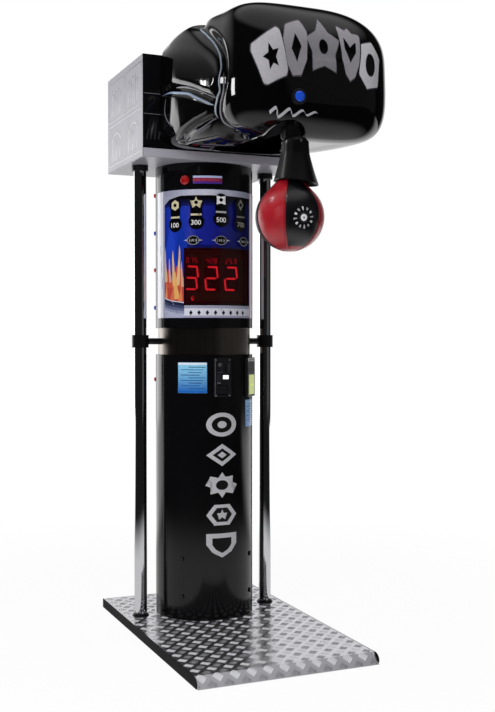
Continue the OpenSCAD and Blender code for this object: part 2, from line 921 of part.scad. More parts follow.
// Middle x, half width, middle level, half height above, half height below, exponent
function section(d) =
    let (m = station_mix(d), mid = (m[3] + m[4]) / 2, half = (m[4] - m[3]) / 2)
    [m[1], nose_cut(m[2], fist_corner_r, d), mid, nose_cut(half, nose_top_r, d),
        nose_cut(half, nose_low_r, d), m[5]];
function polar(a, b, n, angle) =
    1 / pow(pow(abs(cos(angle)) / a, n) + pow(abs(sin(angle)) / b, n), 1 / n);
function corner_n(n, angle) =
    let (w = -2 * sin(angle) * cos(angle))
    n * (1 + fist_corner * (w > 0 ? w : cos(angle) > 0 ? 0.4 * w : 0));
function half_up(s, angle) = sin(angle) >= 0 ? s[3] : s[4];
function on_section(s, inset, angle) =
    let (r = polar(max(s[1] - inset, 6), max(half_up(s, angle) - inset, 6), corner_n(s[5], angle), angle),
        z = s[2] + r * sin(angle))
    [s[0] + r * cos(angle) * (1 - fist_taper * (z - s[2]) / (fist_h / 2)), z];

// The opening under the glove: a round hole for the ball and a slot for the arm and its boot
hole_mid = pivot_y - 0.944 * arm_l;
hole_r = ball_r + 12;
slot_half = boot_top_r + 19;
slot_front = pivot_y + 32;
slot_back_half = boot_hem_r + 14;
hole_back = hole_mid - hole_r;

function hole_half(d) = sqrt(max(0, pow(hole_r, 2) - pow(d - hole_mid, 2)));
function slot_width(d) =
    d > slot_front - slot_half ? sqrt(max(0, pow(slot_half, 2) - pow(d - slot_front + slot_half, 2)))
    : d < hole_mid ? 0 : mix(slot_half, slot_back_half, clamp((pivot_y - 80 - d) / 140, 0, 1));
function gap_half(d) =
    d < hole_back ? 3 + 0.8 * (hole_back - d)
    : d > slot_front ? 3 + 0.8 * (d - slot_front)
    : max(3, hole_half(d), slot_width(d));

back_rows = 3;
gap_rows = 26;
nose_rows = 6;
gap_cols = 6;
glove_cols = 56;
row_d = concat(
    [for (i = [0:back_rows - 1]) mix(head_front, hole_back, i / back_rows)],
    [for (i = [0:gap_rows]) mix(hole_back, slot_front, (1 - cos(180 * i / gap_rows)) / 2)],
    [for (i = [1:nose_rows]) mix(slot_front, glove_front, sin(90 * i / nose_rows))]
);
rows = len(row_d);

function under_angle(s, x) =
    let (u = clamp(abs(x - s[0]) / s[1], 0, 0.97), z = s[4] * pow(1 - pow(u, s[5]), 1 / s[5]))
    atan2(-z, clamp(x - s[0], -0.97 * s[1], 0.97 * s[1]));
function col_angle(d, s, k) =
    let (left = under_angle(s, -gap_half(d)), right = under_angle(s, gap_half(d)))
    k <= gap_cols ? mix(left, right, k / gap_cols)
    : mix(right, left + 360, (k - gap_cols) / (glove_cols - gap_cols));

// Creases as places along the glove (0 at the box, 1 at the front) and up its side (0 low, 1 high)
main_crease = [
    [0.642, 0.04], [0.650, 0.09], [0.652, 0.15], [0.672, 0.23], [0.712, 0.29], [0.752, 0.36],
    [0.764, 0.44], [0.754, 0.53], [0.728, 0.60], [0.658, 0.69], [0.542, 0.80], [0.370, 0.925]
];
thumb_top = [[0.672, 0.25], [0.588, 0.30], [0.480, 0.368], [0.362, 0.43], [0.212, 0.502], [0.03, 0.52]];
thumb_low = [
    [0.658, 0.19], [0.556, 0.182], [0.436, 0.176], [0.33, 0.178], [0.25, 0.178], [0.206, 0.21],
    [0.15, 0.28], [0.11, 0.36]
];
palm_crease = [[0.652, 0.16], [0.528, 0.138], [0.384, 0.106], [0.18, 0.08]];

function side_point(uv, side) =
    let (d = head_front + uv[0] * glove_l, s = section(d), z = fist_low + uv[1] * fist_h,
        half = z > s[2] ? s[3] : s[4], u = clamp(abs(z - s[2]) / half, 0, 0.999),
        x = s[1] * pow(1 - pow(u, s[5]), 1 / s[5]))
    [s[0] + side * x * (1 - fist_taper * (z - s[2]) / (fist_h / 2)), d, z];
crown_d = head_front + 0.33 * glove_l;
crown = [fist_mid * 0.4, crown_d, section(crown_d)[2] + section(crown_d)[3]];
crease_lines = [
    [1, [for (p = main_crease) side_point(p, -1)]],
    [1, concat([side_point(main_crease[11], -1), crown],
        [for (i = [11:-1:2]) side_point(main_crease[i], 1)])],
    [0.75, [for (p = thumb_top) side_point(p, -1)]],
    [0.55, [for (p = thumb_low) side_point(p, -1)]],
    [0.4, [for (p = palm_crease) side_point(p, -1)]]
];

function seg_dist(p, a, b) =
    let (ab = b - a, t = clamp((p - a) * ab / max(ab * ab, 0.001), 0, 1)) norm(p - a - t * ab);
function line_dist(p, pts) = min([for (i = [0:len(pts) - 2]) seg_dist(p, pts[i], pts[i + 1])]);
function crease_depth(p) =
    max([for (c = crease_lines) crease_d * c[0] * exp(-pow(line_dist(p, c[1]) / crease_w, 2))]);

function glove_point(i, k, inset) =
    let (d = row_d[i], s = section(d), angle = col_angle(d, s, k), o = on_section(s, 0, angle),
        q = on_section(s, inset + crease_depth([o[0], d, o[1]]), angle),
        reach = head_front + (d - head_front) * (glove_l - inset) / glove_l)
    [q[0], -reach, head_z + q[1]];

first_gap = back_rows;
last_gap = back_rows + gap_rows;
function is_open(i, k) = i >= first_gap && i < last_gap && k < gap_cols;
function out_id(i, k) = i * glove_cols + k % glove_cols;
function in_id(i, k) = rows * glove_cols + out_id(i, k);

module glove_shell() {
    points = concat(
        [for (i = [0:rows - 1], k = [0:glove_cols - 1]) glove_point(i, k, 0)],
        [for (i = [0:rows - 1], k = [0:glove_cols - 1]) glove_point(i, k, glove_t)]
    );
    skins = [for (i = [0:rows - 2], k = [0:glove_cols - 1]) if (!is_open(i, k)) each [
        [out_id(i, k), out_id(i, k + 1), out_id(i + 1, k + 1)],
        [out_id(i, k), out_id(i + 1, k + 1), out_id(i + 1, k)],
        [in_id(i, k), in_id(i + 1, k + 1), in_id(i, k + 1)],
        [in_id(i, k), in_id(i + 1, k), in_id(i + 1, k + 1)]
    ]];
    wrist = [for (k = [0:glove_cols - 1]) each [
        [out_id(0, k), in_id(0, k), in_id(0, k + 1)],
        [out_id(0, k), in_id(0, k + 1), out_id(0, k + 1)]
    ]];
    gap_sides = [for (i = [first_gap:last_gap - 1]) each [
        [out_id(i, 0), out_id(i + 1, 0), in_id(i + 1, 0)],
        [out_id(i, 0), in_id(i + 1, 0), in_id(i, 0)],
        [out_id(i, gap_cols), in_id(i + 1, gap_cols), out_id(i + 1, gap_cols)],
        [out_id(i, gap_cols), in_id(i, gap_cols), in_id(i + 1, gap_cols)]
    ]];
    gap_ends = [for (k = [0:gap_cols - 1]) each [
        [out_id(first_gap, k), in_id(first_gap, k + 1), out_id(first_gap, k + 1)],
        [out_id(first_gap, k), in_id(first_gap, k), in_id(first_gap, k + 1)],
        [out_id(last_gap, k), out_id(last_gap, k + 1), in_id(last_gap, k + 1)],
        [out_id(last_gap, k), in_id(last_gap, k + 1), in_id(last_gap, k)]
    ]];
    caps = [for (k = [1:glove_cols - 2]) each [
        [out_id(rows - 1, 0), out_id(rows - 1, k), out_id(rows - 1, k + 1)],
        [in_id(rows - 1, 0), in_id(rows - 1, k + 1), in_id(rows - 1, k)]
    ]];
    color("#0c0c0e") difference() {
        polyhedron(points = points, faces = concat(skins, wrist, gap_sides, gap_ends, caps));
        translate([0, -glove_front + 40, button_z]) outward(80, bezel_r + seat_c);
    }
}

// Start button

bezel_front = glove_front + 9;
bezel_back = glove_front - 22;
stem_r = 5;
cap_back = bezel_front - 14;
stem_end = bezel_back - 6;

module button_bezel() {
    nut_t = 4;
    color("#15161a") difference() {
        union() {
            translate([0, -bezel_back, button_z]) outward(bezel_front - bezel_back, bezel_r);
            translate([0, -bezel_back, button_z]) outward(nut_t, bezel_r + 4);
        }
        translate([0, -bezel_back - 3, button_z]) outward(60, button_r + move_c);
        translate([0, -bezel_back + 5, button_z]) outward(60, stem_r + run_c);
    }
}

module start_button() {
    dome = 7;
    cap_l = bezel_front - cap_back;
    color("#1c4fd6") translate([0, -cap_back, button_z]) rotate([90, 0, 0]) {
        rotate_extrude() polygon(concat([[0, 0], [button_r, 0]],
            [for (i = [0:9]) [button_r * cos(i * 10), cap_l + dome * sin(i * 10)]]));
        translate([0, 0, stem_end - cap_back]) cylinder(h = cap_back - stem_end + 1, r = stem_r);
    }
}

module button_switch() {
    switch_l = 9;
    face = stem_end - button_travel - 0.5;
    color("#3b3b3b") difference() {
        translate([0, -face + switch_l, button_z]) outward(bezel_back - face + switch_l, 13);
        translate([0, -face, button_z]) outward(bezel_back - face + 1, 10);
    }
}

// Arm carrier inside the glove

rail_out = 136;
rail_t = 8;
rail_half_h = 27;
fork_out = 92;
crank_back = pivot_y - 210;
crank_front = pivot_y - 140;
rail_front = pivot_y + 26;
plate_back_t = 6;
bush_t = 3.5;
bush_flange = 3;

module rail(side) {
    difference() {
        translate([0, 0, pivot_z - rail_half_h]) linear_extrude(2 * rail_half_h) scale([side, 1]) polygon([
            [rail_out - rail_t, -head_front - 1], [rail_out, -head_front - 1], [rail_out, -crank_back],
            [fork_out, -crank_front], [fork_out, -rail_front], [fork_out - rail_t, -rail_front],
            [fork_out - rail_t, -crank_front], [rail_out - rail_t, -crank_back]
        ]);
        translate([0, -pivot_y, pivot_z]) rotate([0, 90, 0])
            cylinder(h = 4 * rail_out, r = shaft_r + run_c + bush_t + 0.02, center = true);
    }
}

module arm_bracket() {
    color("#3d4045") {
        rail(-1);
        rail(1);
        block(-rail_out - 34, rail_out + 34, -head_front - plate_back_t, -head_front,
            pivot_z - 30, pivot_z + 130);
        for (s = [-1, 1]) translate([s * (rail_out - rail_t / 2), 0, 0]) along_x(rail_t) polygon([
            [-head_front - 1, pivot_z + rail_half_h - 1], [-head_front - 1, pivot_z + 120],
            [-head_front - 110, pivot_z + rail_half_h - 1]
        ]);
        block(-fork_out, -stop_x, -stop_y - 24, -stop_y + 24,
            pivot_z + rail_half_h, pivot_z + rail_half_h + 8);
    }
}

stop_y = pivot_y - 42;
stop_x = -17;

module stop_bumper() {
    top = pivot_z + rail_half_h;
    color("#161616") translate([0, -stop_y, top - 15]) cylinder(h = 15, r = 14);
}

module bearings() {
    inside = fork_out - rail_t;
    color("#a8823c") for (s = [-1, 1]) translate([s * inside, -pivot_y, pivot_z]) rotate([0, s * 90, 0])
        difference() {
            union() {
                cylinder(h = rail_t, r = shaft_r + run_c + bush_t);
                translate([0, 0, -bush_flange]) cylinder(h = bush_flange, r = shaft_r + 9);
            }
            translate([0, 0, -bush_flange - 1]) cylinder(h = rail_t + bush_flange + 2, r = shaft_r + run_c);
        }
}

collar_t = 6;

module arm_shaft() {
    half = fork_out + 1 + collar_t;
    color("#b9bbbe") translate([0, -pivot_y, pivot_z]) rotate([0, 90, 0]) {
        cylinder(h = 2 * half, r = shaft_r, center = true);
        for (s = [-1, 1]) translate([0, 0, s * (half - collar_t / 2)])
            cylinder(h = collar_t, r = shaft_r + 5, center = true);
    }
}

hub_r = 20;
hub_half = 34;
ball_z = pivot_z - arm_l;
arm_low = ball_z + ball_r - 10;
finger_x = 22;
finger_w = 10;
finger_reach = 62;
finger_half_t = 5;

module arm() {
    color("#8f9296") translate([0, -pivot_y, 0]) difference() {
        union() {
            translate([0, 0, pivot_z]) rotate([0, 90, 0])
                cylinder(h = 2 * hub_half, r = hub_r, center = true);
            translate([0, 0, arm_low]) cylinder(h = pivot_z - arm_low, r = arm_r);
            block(finger_x, finger_x + finger_w, 0, finger_reach, pivot_z - finger_half_t,
                pivot_z + finger_half_t);
        }
        translate([0, 0, pivot_z]) rotate([0, 90, 0])
            cylinder(h = 2 * hub_half + 2, r = shaft_r + 0.02, center = true);
    }
}

boot_top_z = pivot_z - 118;
boot_mid_z = boot_top_z - 50;
boot_hem_z = ball_z + 103;
boot_t = 4;
boot_bevel = 6;

module boot() {
    mid_r = mix(boot_top_r, boot_hem_r, 0.12);
    color("#121214") translate([0, -pivot_y, 0]) rotate_extrude() polygon([
        [arm_r + seat_c, boot_top_z], [boot_top_r - boot_bevel, boot_top_z],
        [boot_top_r, boot_top_z - boot_bevel], [mid_r, boot_mid_z], [boot_hem_r, boot_hem_z],
        [boot_hem_r - boot_t, boot_hem_z], [mid_r - boot_t, boot_mid_z],
        [boot_top_r - boot_t, boot_top_z - boot_bevel - 2], [arm_r + seat_c, boot_top_z - boot_bevel - 2]
    ]);
}

module ball() {
    tangent_a = 45;
    neck_h = (ball_r / cos(tangent_a)) - neck_r;
    neck_top = neck_h + 22;
    color("#b3121c") translate([0, -pivot_y, ball_z]) difference() {
        rotate_extrude() polygon(concat(
            [for (i = [0:27]) let (a = -90 + i * 5) [ball_r * cos(a), ball_r * sin(a)]],
            [[neck_r, neck_h], [neck_r, neck_top], [0, neck_top]]
        ));
        translate([0, 0, arm_low - ball_z]) cylinder(h = arm_l, r = arm_r + 0.02);
    }
}

// Latch that holds the ball up, and its solenoid
// The hook is drawn lifted, as its spring leaves it when the ball is down.

latch_y = pivot_y + 32;
latch_z = pivot_z + 78;
latch_lift = 16;
hook_half_h = 6;
tooth_d = 54;
tooth_w = 10;
tooth_drop = 28;
latch_pin_r = 4;
wall_x = 38;
wall_t = 4;
plunger_d = 30;
plunger_r = 4;
coil_low = latch_z + 30;
coil_h = 34;

module latch_hook() {
    color("#777a7e") translate([0, -latch_y, latch_z]) rotate([latch_lift, 0, 0]) difference() {
        union() {
            translate([finger_x, 0, 0]) rotate([0, 90, 0]) cylinder(h = finger_w, r = 9);
            block(finger_x, finger_x + finger_w, 0, tooth_d, -hook_half_h, hook_half_h);
            block(finger_x, finger_x + finger_w, tooth_d - tooth_w, tooth_d, -tooth_drop, hook_half_h);
        }
        translate([finger_x - 1, 0, 0]) rotate([0, 90, 0])
            cylinder(h = finger_w + 2, r = latch_pin_r + run_c);
    }
}

module latch_bracket() {
    rail_top = pivot_z + rail_half_h;
    bracket_top = coil_low + coil_h;
    color("#3d4045") {
        block(wall_x, wall_x + wall_t, -latch_y - 10, -latch_y + 78, rail_top, bracket_top);
        block(wall_x, fork_out, -latch_y + 12, -latch_y + 70, rail_top, rail_top + 4);
        translate([finger_x - 4, -latch_y, latch_z]) rotate([0, 90, 0]) {
            cylinder(h = wall_x - finger_x + 5, r = latch_pin_r);
            cylinder(h = 4 - move_c, r = latch_pin_r + 3);
            translate([0, 0, finger_w + 4 + move_c])
                cylinder(h = wall_x - finger_x - finger_w, r = latch_pin_r + 3);
        }
    }
}

coil_x = finger_x + finger_w / 2;

module solenoid() {
    color("#b08a2a") difference() {
        block(coil_x - 13, wall_x, -latch_y + plunger_d - 14, -latch_y + plunger_d + 14, coil_low,
            coil_low + coil_h);
        translate([coil_x, -latch_y + plunger_d, coil_low - 1])
            cylinder(h = coil_h + 2, r = plunger_r + run_c);
    }
}

module solenoid_plunger() {
    centre = latch_z + plunger_d * tan(latch_lift) + (hook_half_h + plunger_r + 0.3) / cos(latch_lift);
    head_low = coil_low + coil_h + 11;
    color("#c8c8cc") translate([coil_x, -latch_y + plunger_d, centre]) {
        sphere(r = plunger_r);
        cylinder(h = head_low + 3 - centre, r = plunger_r);
        translate([0, 0, head_low - centre]) cylinder(h = 3, r = plunger_r + 3);
    }
}

module swing_sensor() {
    color("#1d4a8a") block(-fork_out - 14, -fork_out, -pivot_y + 22, -pivot_y + 46,
        pivot_z - 10, pivot_z + 12);
}

tread_plate();
base_frame();
edge_trims();
rubber_feet();
column_foot();
lower_tube_front();
lower_tube_rear();
band_sleeve();
upper_tube();
header_cover();
display_panel();
display_window();
panel_brackets();
display_board();
led_digits();
main_board();
speaker();
side_lamps_red();
side_lamps_blue();
instruction_cards();
rear_door();
door_frame();
rear_door_cam();
coin_plate();
coin_mech();
coin_window();
reject_button();
return_flap();
note_acceptor();
note_mouth();
cash_box();
cash_shelf();
power_supply();
mains_inlet();
left_pole();
right_pole();
pole_braces();
pole_sockets();
column_bolts();
head_floor();
head_front_panel();
head_shell();
head_rear_door();
head_door_cam();
glove_shell();
button_bezel();
start_button();
button_switch();
arm_bracket();
bearings();
arm_shaft();
arm();
boot();
ball();
stop_bumper();
latch_hook();
latch_bracket();
solenoid();
solenoid_plunger();
swing_sensor();
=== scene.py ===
# Looks of a boxing arcade machine: a strike ball under a moulded glove, on a column over a tread plate.
# Lengths in the dictionaries are millimetres and angles degrees. Every mesh is in the CAD model's own frame.
from contextlib import contextmanager
from math import atan2, ceil, copysign, cos, floor, hypot, pi, radians, sin

import bmesh
import bpy
import numpy as np
from mathutils import Matrix, Vector
from mathutils.bvhtree import BVHTree


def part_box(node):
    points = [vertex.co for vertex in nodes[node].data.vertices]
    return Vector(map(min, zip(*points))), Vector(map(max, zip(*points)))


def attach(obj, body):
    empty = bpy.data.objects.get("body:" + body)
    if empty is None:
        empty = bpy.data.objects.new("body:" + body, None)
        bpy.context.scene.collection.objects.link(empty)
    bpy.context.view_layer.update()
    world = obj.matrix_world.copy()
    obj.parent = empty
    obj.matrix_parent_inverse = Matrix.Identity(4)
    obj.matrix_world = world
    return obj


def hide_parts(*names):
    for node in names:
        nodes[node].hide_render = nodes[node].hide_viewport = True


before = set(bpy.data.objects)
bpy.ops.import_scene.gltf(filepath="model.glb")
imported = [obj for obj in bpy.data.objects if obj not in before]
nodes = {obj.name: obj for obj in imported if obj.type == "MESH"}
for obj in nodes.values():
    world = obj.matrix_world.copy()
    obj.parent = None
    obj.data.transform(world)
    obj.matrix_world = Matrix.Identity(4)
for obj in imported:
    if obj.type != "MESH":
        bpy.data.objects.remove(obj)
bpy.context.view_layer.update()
mm = 0.001
viewWay = (0.358, 0.934, 0)  # level direction from the camera to the machine
print("frame loaded:", len(nodes), "nodes")


def corners(node):
    low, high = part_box(node)
    return np.array(low) / mm, np.array(high) / mm


def middle(node, axis):
    low, high = corners(node)
    return (low[axis] + high[axis]) / 2


# Nodes and materials

def linear(colour):
    parts = [int(colour[i:i + 2], 16) / 255 for i in (1, 3, 5)]
    return [p / 12.92 if p <= 0.04045 else ((p + 0.055) / 1.055) ** 2.4 for p in parts] + [1.0]


def shade(colour, gain):
    return [min(1.0, c * gain) for c in linear(colour)[:3]] + [1.0]


def blend(first, last, share):
    return [a + (b - a) * share for a, b in zip(first, last)]


def setInputs(tree, node, inputs):
    for key, value in inputs.items():
        if isinstance(value, bpy.types.NodeSocket):
            tree.links.new(value, node.inputs[key])
        else:
            node.inputs[key].default_value = value


def addNode(tree, kind, inputs=None, **settings):
    node = tree.nodes.new(kind)
    for key, value in settings.items():
        setattr(node, key, value)
    setInputs(tree, node, inputs or {})
    return node


def emptyTree(owner):
    owner.use_nodes = True
    owner.node_tree.nodes.clear()
    return owner.node_tree


def newMaterial(name):
    material = bpy.data.materials.new(name)
    tree = emptyTree(material)
    shader = addNode(tree, "ShaderNodeBsdfPrincipled")
    addNode(tree, "ShaderNodeOutputMaterial", {"Surface": shader.outputs[0]})
    return material, tree, shader, addNode(tree, "ShaderNodeTexCoord").outputs["Object"]


def finish(name, colour, rough, metallic=0.0, mottle=0.08, mottleSize=70, roughSpread=0.05, grain=0.0,
           grainSize=1.5, stretch=(1, 1, 1), coat=0.0, light=0.0, specular=0.5, alpha=1.0):
    # mottled colour and gloss over mottleSize, and a raised grain of that height and size
    material, tree, shader, coords = newMaterial(name)
    place = addNode(tree, "ShaderNodeMapping", {"Vector": coords, "Scale": stretch}).outputs[0]
    cloud = addNode(tree, "ShaderNodeTexNoise", {"Vector": place, "Scale": 1 / (mottleSize * mm),
                                                 "Detail": 5.0}).outputs["Fac"]
    tint = addNode(tree, "ShaderNodeMix", {0: cloud, 6: shade(colour, 1 - mottle),
                                           7: shade(colour, 1 + mottle)}, data_type="RGBA").outputs[2]
    gloss = addNode(tree, "ShaderNodeMapRange", {"Value": cloud, "To Min": rough - roughSpread,
                                                 "To Max": rough + roughSpread}).outputs[0]
    setInputs(tree, shader, {"Base Color": tint, "Roughness": gloss, "Metallic": metallic,
                             "Specular IOR Level": specular, "Coat Weight": coat, "Coat Roughness": 0.04,
                             "Alpha": alpha})
    if light:
        setInputs(tree, shader, {"Emission Color": tint, "Emission Strength": light})
    if grain:
        fine = addNode(tree, "ShaderNodeTexNoise", {"Vector": place, "Scale": 1 / (grainSize * mm),
                                                    "Detail": 3.0}).outputs["Fac"]
        bump = addNode(tree, "ShaderNodeBump", {"Height": fine, "Distance": grain * mm}).outputs[0]
        setInputs(tree, shader, {"Normal": bump})
    return material


def leather(name, rough, grain=0.35, colour=None, specular=0.5):
    # dyed cowhide with pebbled cells; without a colour it shows the piece's own ink attribute, slightly worn
    cellSize, cloudSize = 3.2, 28
    material, tree, shader, coords = newMaterial(name)
    cells = addNode(tree, "ShaderNodeTexVoronoi", {"Vector": coords, "Scale": 1 / (cellSize * mm)},
                    feature="DISTANCE_TO_EDGE").outputs["Distance"]
    cloud = addNode(tree, "ShaderNodeTexNoise", {"Vector": coords, "Scale": 1 / (cloudSize * mm),
                                                 "Detail": 4.0}).outputs["Fac"]
    if colour:
        first, second, way = shade(colour, 0.8), shade(colour, 1.25), "MIX"
    else:
        first = addNode(tree, "ShaderNodeAttribute", attribute_name="ink").outputs["Color"]
        second, way = (1, 1, 1, 1), "SOFT_LIGHT"
    base = addNode(tree, "ShaderNodeMix", {0: cloud, 6: first, 7: second}, data_type="RGBA",
                   blend_type=way).outputs[2]
    gloss = addNode(tree, "ShaderNodeMapRange", {"Value": cloud, "To Min": rough - 0.06,
                                                 "To Max": rough + 0.08}).outputs[0]
    bump = addNode(tree, "ShaderNodeBump", {"Height": cells, "Distance": grain * mm,
                                            "Strength": 0.5}).outputs[0]
    setInputs(tree, shader, {"Base Color": base, "Roughness": gloss, "Normal": bump,
                             "Specular IOR Level": specular})
    return material


def printedInk(name, rough=0.22, metallic=0.0, light=0.0, mottle=0.10, coat=0.4):
    # screen print under a clear film: colour from the ink attribute, slightly uneven, glossy on top
    material, tree, shader, coords = newMaterial(name)
    ink = addNode(tree, "ShaderNodeAttribute", attribute_name="ink").outputs["Color"]
    cloud = addNode(tree, "ShaderNodeTexNoise", {"Vector": coords, "Scale": 1 / (9 * mm),
                                                 "Detail": 5.0}).outputs["Fac"]
    uneven = addNode(tree, "ShaderNodeMapRange", {"Value": cloud, "To Min": 1 - mottle,
                                                  "To Max": 1 + mottle}).outputs[0]
    tint = addNode(tree, "ShaderNodeMix", {0: 1.0, 6: ink, 7: uneven}, data_type="RGBA",
                   blend_type="MULTIPLY").outputs[2]
    setInputs(tree, shader, {"Base Color": tint, "Roughness": rough, "Metallic": metallic,
                             "Coat Weight": coat, "Coat Roughness": 0.08})
    if light:
        setInputs(tree, shader, {"Emission Color": tint, "Emission Strength": light})
    return material


# Gloss black powder coat on rolled sheet: deep black, near-mirror with a faint orange peel
columnPaint = finish("glossPowderCoat", "#0a090b", 0.14, mottle=0.15, grain=0.02, grainSize=5, specular=0.35)
# Polyester gel coat of the moulded glove: the deepest black and the sharpest highlights
gelCoat = finish("blackGelCoat", "#040405", 0.07, mottle=0.2, roughSpread=0.03, grain=0.05, grainSize=26)
# Satin powder coat on small steel parts: soft broad highlights
satinBlack = finish("satinPowderCoat", "#0e0e10", 0.38, mottle=0.12, grain=0.05, grainSize=1.2)
# Anthracite primer on inner steel
innerPaint = finish("steelPrimer", "#3c3d40", 0.5, mottle=0.1, grain=0.06)
# Chromed steel tube: mirror with very faint drawing lines along the tube
chrome = finish("chromePlatedTube", "#d9d9dc", 0.06, 1.0, mottle=0.03, roughSpread=0.02, stretch=(1, 1, 0.05),
                grain=0.004, grainSize=2)
# Polished stainless sleeve: warm grey, with broad streaks along it in its colour, partly drawing lines and
# partly painted reflection
stainless = finish("polishedStainlessDrawnAndPaintedStreaks", "#8a827b", 0.3, 1.0, mottle=0.35, mottleSize=16, roughSpread=0.05,
                   stretch=(1, 1, 0.02))
# Zinc plated sheet and machined steel inside
zincSteel = finish("zincPlatedSteel", "#a9aaa6", 0.36, 1.0, mottle=0.12, mottleSize=9)
groundSteel = finish("groundSteel", "#b4b6b8", 0.24, 1.0, mottle=0.06, mottleSize=5, stretch=(0.1, 1, 1))
bronze = finish("sinteredBronze", "#b98a45", 0.38, 1.0, mottle=0.1, mottleSize=4)
# Rolled aluminium tread plate: bright and brushed by use; its raised bars on one diagonal get a pale matt copy
# as a painted highlight
treadMetal = finish("rolledAluminium", "#c4c4c9", 0.2, 0.92, mottle=0.05, mottleSize=38, roughSpread=0.07,
                    grain=0.012, grainSize=3)
treadRibPaintedHighlight = finish("aluminiumRibPaintedHighlight", "#f0f0f4", 0.45, 0.0, mottle=0.04, roughSpread=0.08)
trimBlack = finish("blackAnodizedTrim", "#0b0b0c", 0.6, mottle=0.1, grain=0.05, grainSize=1.2, specular=0.08)
# Moulded rubber pads and bumper
rubber = finish("blackRubber", "#131313", 0.78, mottle=0.15, grain=0.12, grainSize=2)
# Powder coated box in cool pale grey
boxPaint = finish("paleGreyPowderCoat", "#a5a3ac", 0.3, mottle=0.03, mottleSize=180, grain=0.02, grainSize=4,
                  specular=0.2)
frontPaint = finish("boxFrontBlack", "#0a0a0c", 0.12, mottle=0.2, mottleSize=120, grain=0.02, grainSize=5)
# ABS and polycarbonate mouldings
blackAbs = finish("blackAbs", "#16161a", 0.3, mottle=0.1, grain=0.03, grainSize=1.0)
greyAbs = finish("greyAbs", "#3a3a3e", 0.42, mottle=0.08, grain=0.05, grainSize=1.0)
domeBlue = finish("blueLitDome", "#1747b8", 0.1, mottle=0.35, mottleSize=9, coat=1.0, light=0.14)
lampRed = finish("redLampDome", "#c01a20", 0.14, mottle=0.2, mottleSize=6, coat=1.0, light=0.25)
headerRed = finish("headerLampDome", "#8f0d12", 0.12, mottle=0.3, mottleSize=9, coat=1.0, light=0.2)
lampBlue = finish("blueLampDome", "#2440c8", 0.14, mottle=0.2, mottleSize=6, coat=1.0, light=0.25)
mouthLit = finish("yellowGreenLitAcrylic", "#d2dc92", 0.2, mottle=0.12, mottleSize=20, light=0.35)
whiteLit = finish("whiteLitAcrylic", "#f4f5f7", 0.2, mottle=0.03, mottleSize=8, light=0.7)
boardGreen = finish("solderMaskGreen", "#1c5a34", 0.35, mottle=0.25, mottleSize=7, coat=0.3)
digitFace = finish("digitFaceDark", "#140304", 0.3, mottle=0.2, mottleSize=6)
segmentLit = finish("litRedSegment", "#ff2634", 0.3, mottle=0.05, mottleSize=6, light=2.4)
segmentDim = finish("dimRedSegment", "#ff2634", 0.3, mottle=0.05, mottleSize=6, light=1.3)
supplyCase = finish("ventedAluminium", "#9fa1a3", 0.4, 0.9, mottle=0.08, mottleSize=12)
sensorBlue = finish("sensorBlueAbs", "#1d4a8a", 0.35, mottle=0.08)
coilYellow = finish("coilTapeYellow", "#a8842c", 0.45, mottle=0.12, mottleSize=6)
# Panel film under a clear top coat; silver ink has metal flakes
panelInk = printedInk("screenPrintFilm", rough=0.18)
silverInk = printedInk("silverFlakeInk", rough=0.5, metallic=0.3, mottle=0.16, coat=0.0)
# the glove piping's ink holds painted highlights along the fold beads
pipingHighlightInk = printedInk("glovePipingPaintedHighlight", rough=0.12, mottle=0.12, coat=0.0)
# Leather of the ball and of its boot
ballLeather = leather("dyedBallLeather", 0.3, specular=0.75)
bootLeather = leather("blackBootLeather", 0.36, grain=0.3, colour="#050506")
thread = finish("waxedThread", "#26262a", 0.6, mottle=0.2, mottleSize=2)
# Smoked red acrylic: the lit digits show through its dark body colour
lens = finish("smokedRedAcrylic", "#2e0508", 0.07, mottle=0.1, roughSpread=0.02, alpha=0.55)
print("materials made")


# Mesh tools

@contextmanager
def editing(mesh):
    bm = bmesh.new()
    bm.from_mesh(mesh)
    yield bm
    bm.to_mesh(mesh)
    bm.free()


def turnOutward(bm):
    bmesh.ops.recalc_face_normals(bm, faces=bm.faces)
    if max(bm.verts, key=lambda v: v.co.z).normal.z < 0:
        bmesh.ops.reverse_faces(bm, faces=bm.faces)


def cutPlane(bm, where, normal, near):
    bmesh.ops.bisect_plane(bm, geom=bm.verts[:] + bm.edges[:] + bm.faces[:], plane_co=where, plane_no=normal,
                           dist=near)


def thicken(piece, wall):
    modifier = piece.modifiers.new("wall", "SOLIDIFY")
    modifier.thickness = wall * mm
    modifier.offset = -1


def inkCorners(piece, colours):
    ink = piece.data.attributes.new("ink", "FLOAT_COLOR", "CORNER")
    ink.data.foreach_set("color", np.asarray(colours, np.float32).ravel())


def around(r, angle, z):
    # a point r from the column's axis, with the angle from the front toward the right
    return r * sin(angle), -r * cos(angle), z


def addObject(name, data):
    piece = bpy.data.objects.new(name, data)
    bpy.context.scene.collection.objects.link(piece)
    return piece


def meshPiece(name, points, faces, material, smooth=True):
    mesh = bpy.data.meshes.new(name)
    mesh.from_pydata((np.asarray(points, float) * mm).tolist(), [], faces)
    mesh.polygons.foreach_set("use_smooth", [smooth] * len(mesh.polygons))
    mesh.materials.append(material)
    mesh.validate()
    return addObject(name, mesh)


def mount(piece, slotName, *replaced, body="machine"):
    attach(piece, body)
    if replaced:
        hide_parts(*replaced)
    return piece


def paintNode(material, *names):
    for name in names:
        mesh = nodes[name].data
        mesh.materials.clear()
        mesh.materials.append(material)


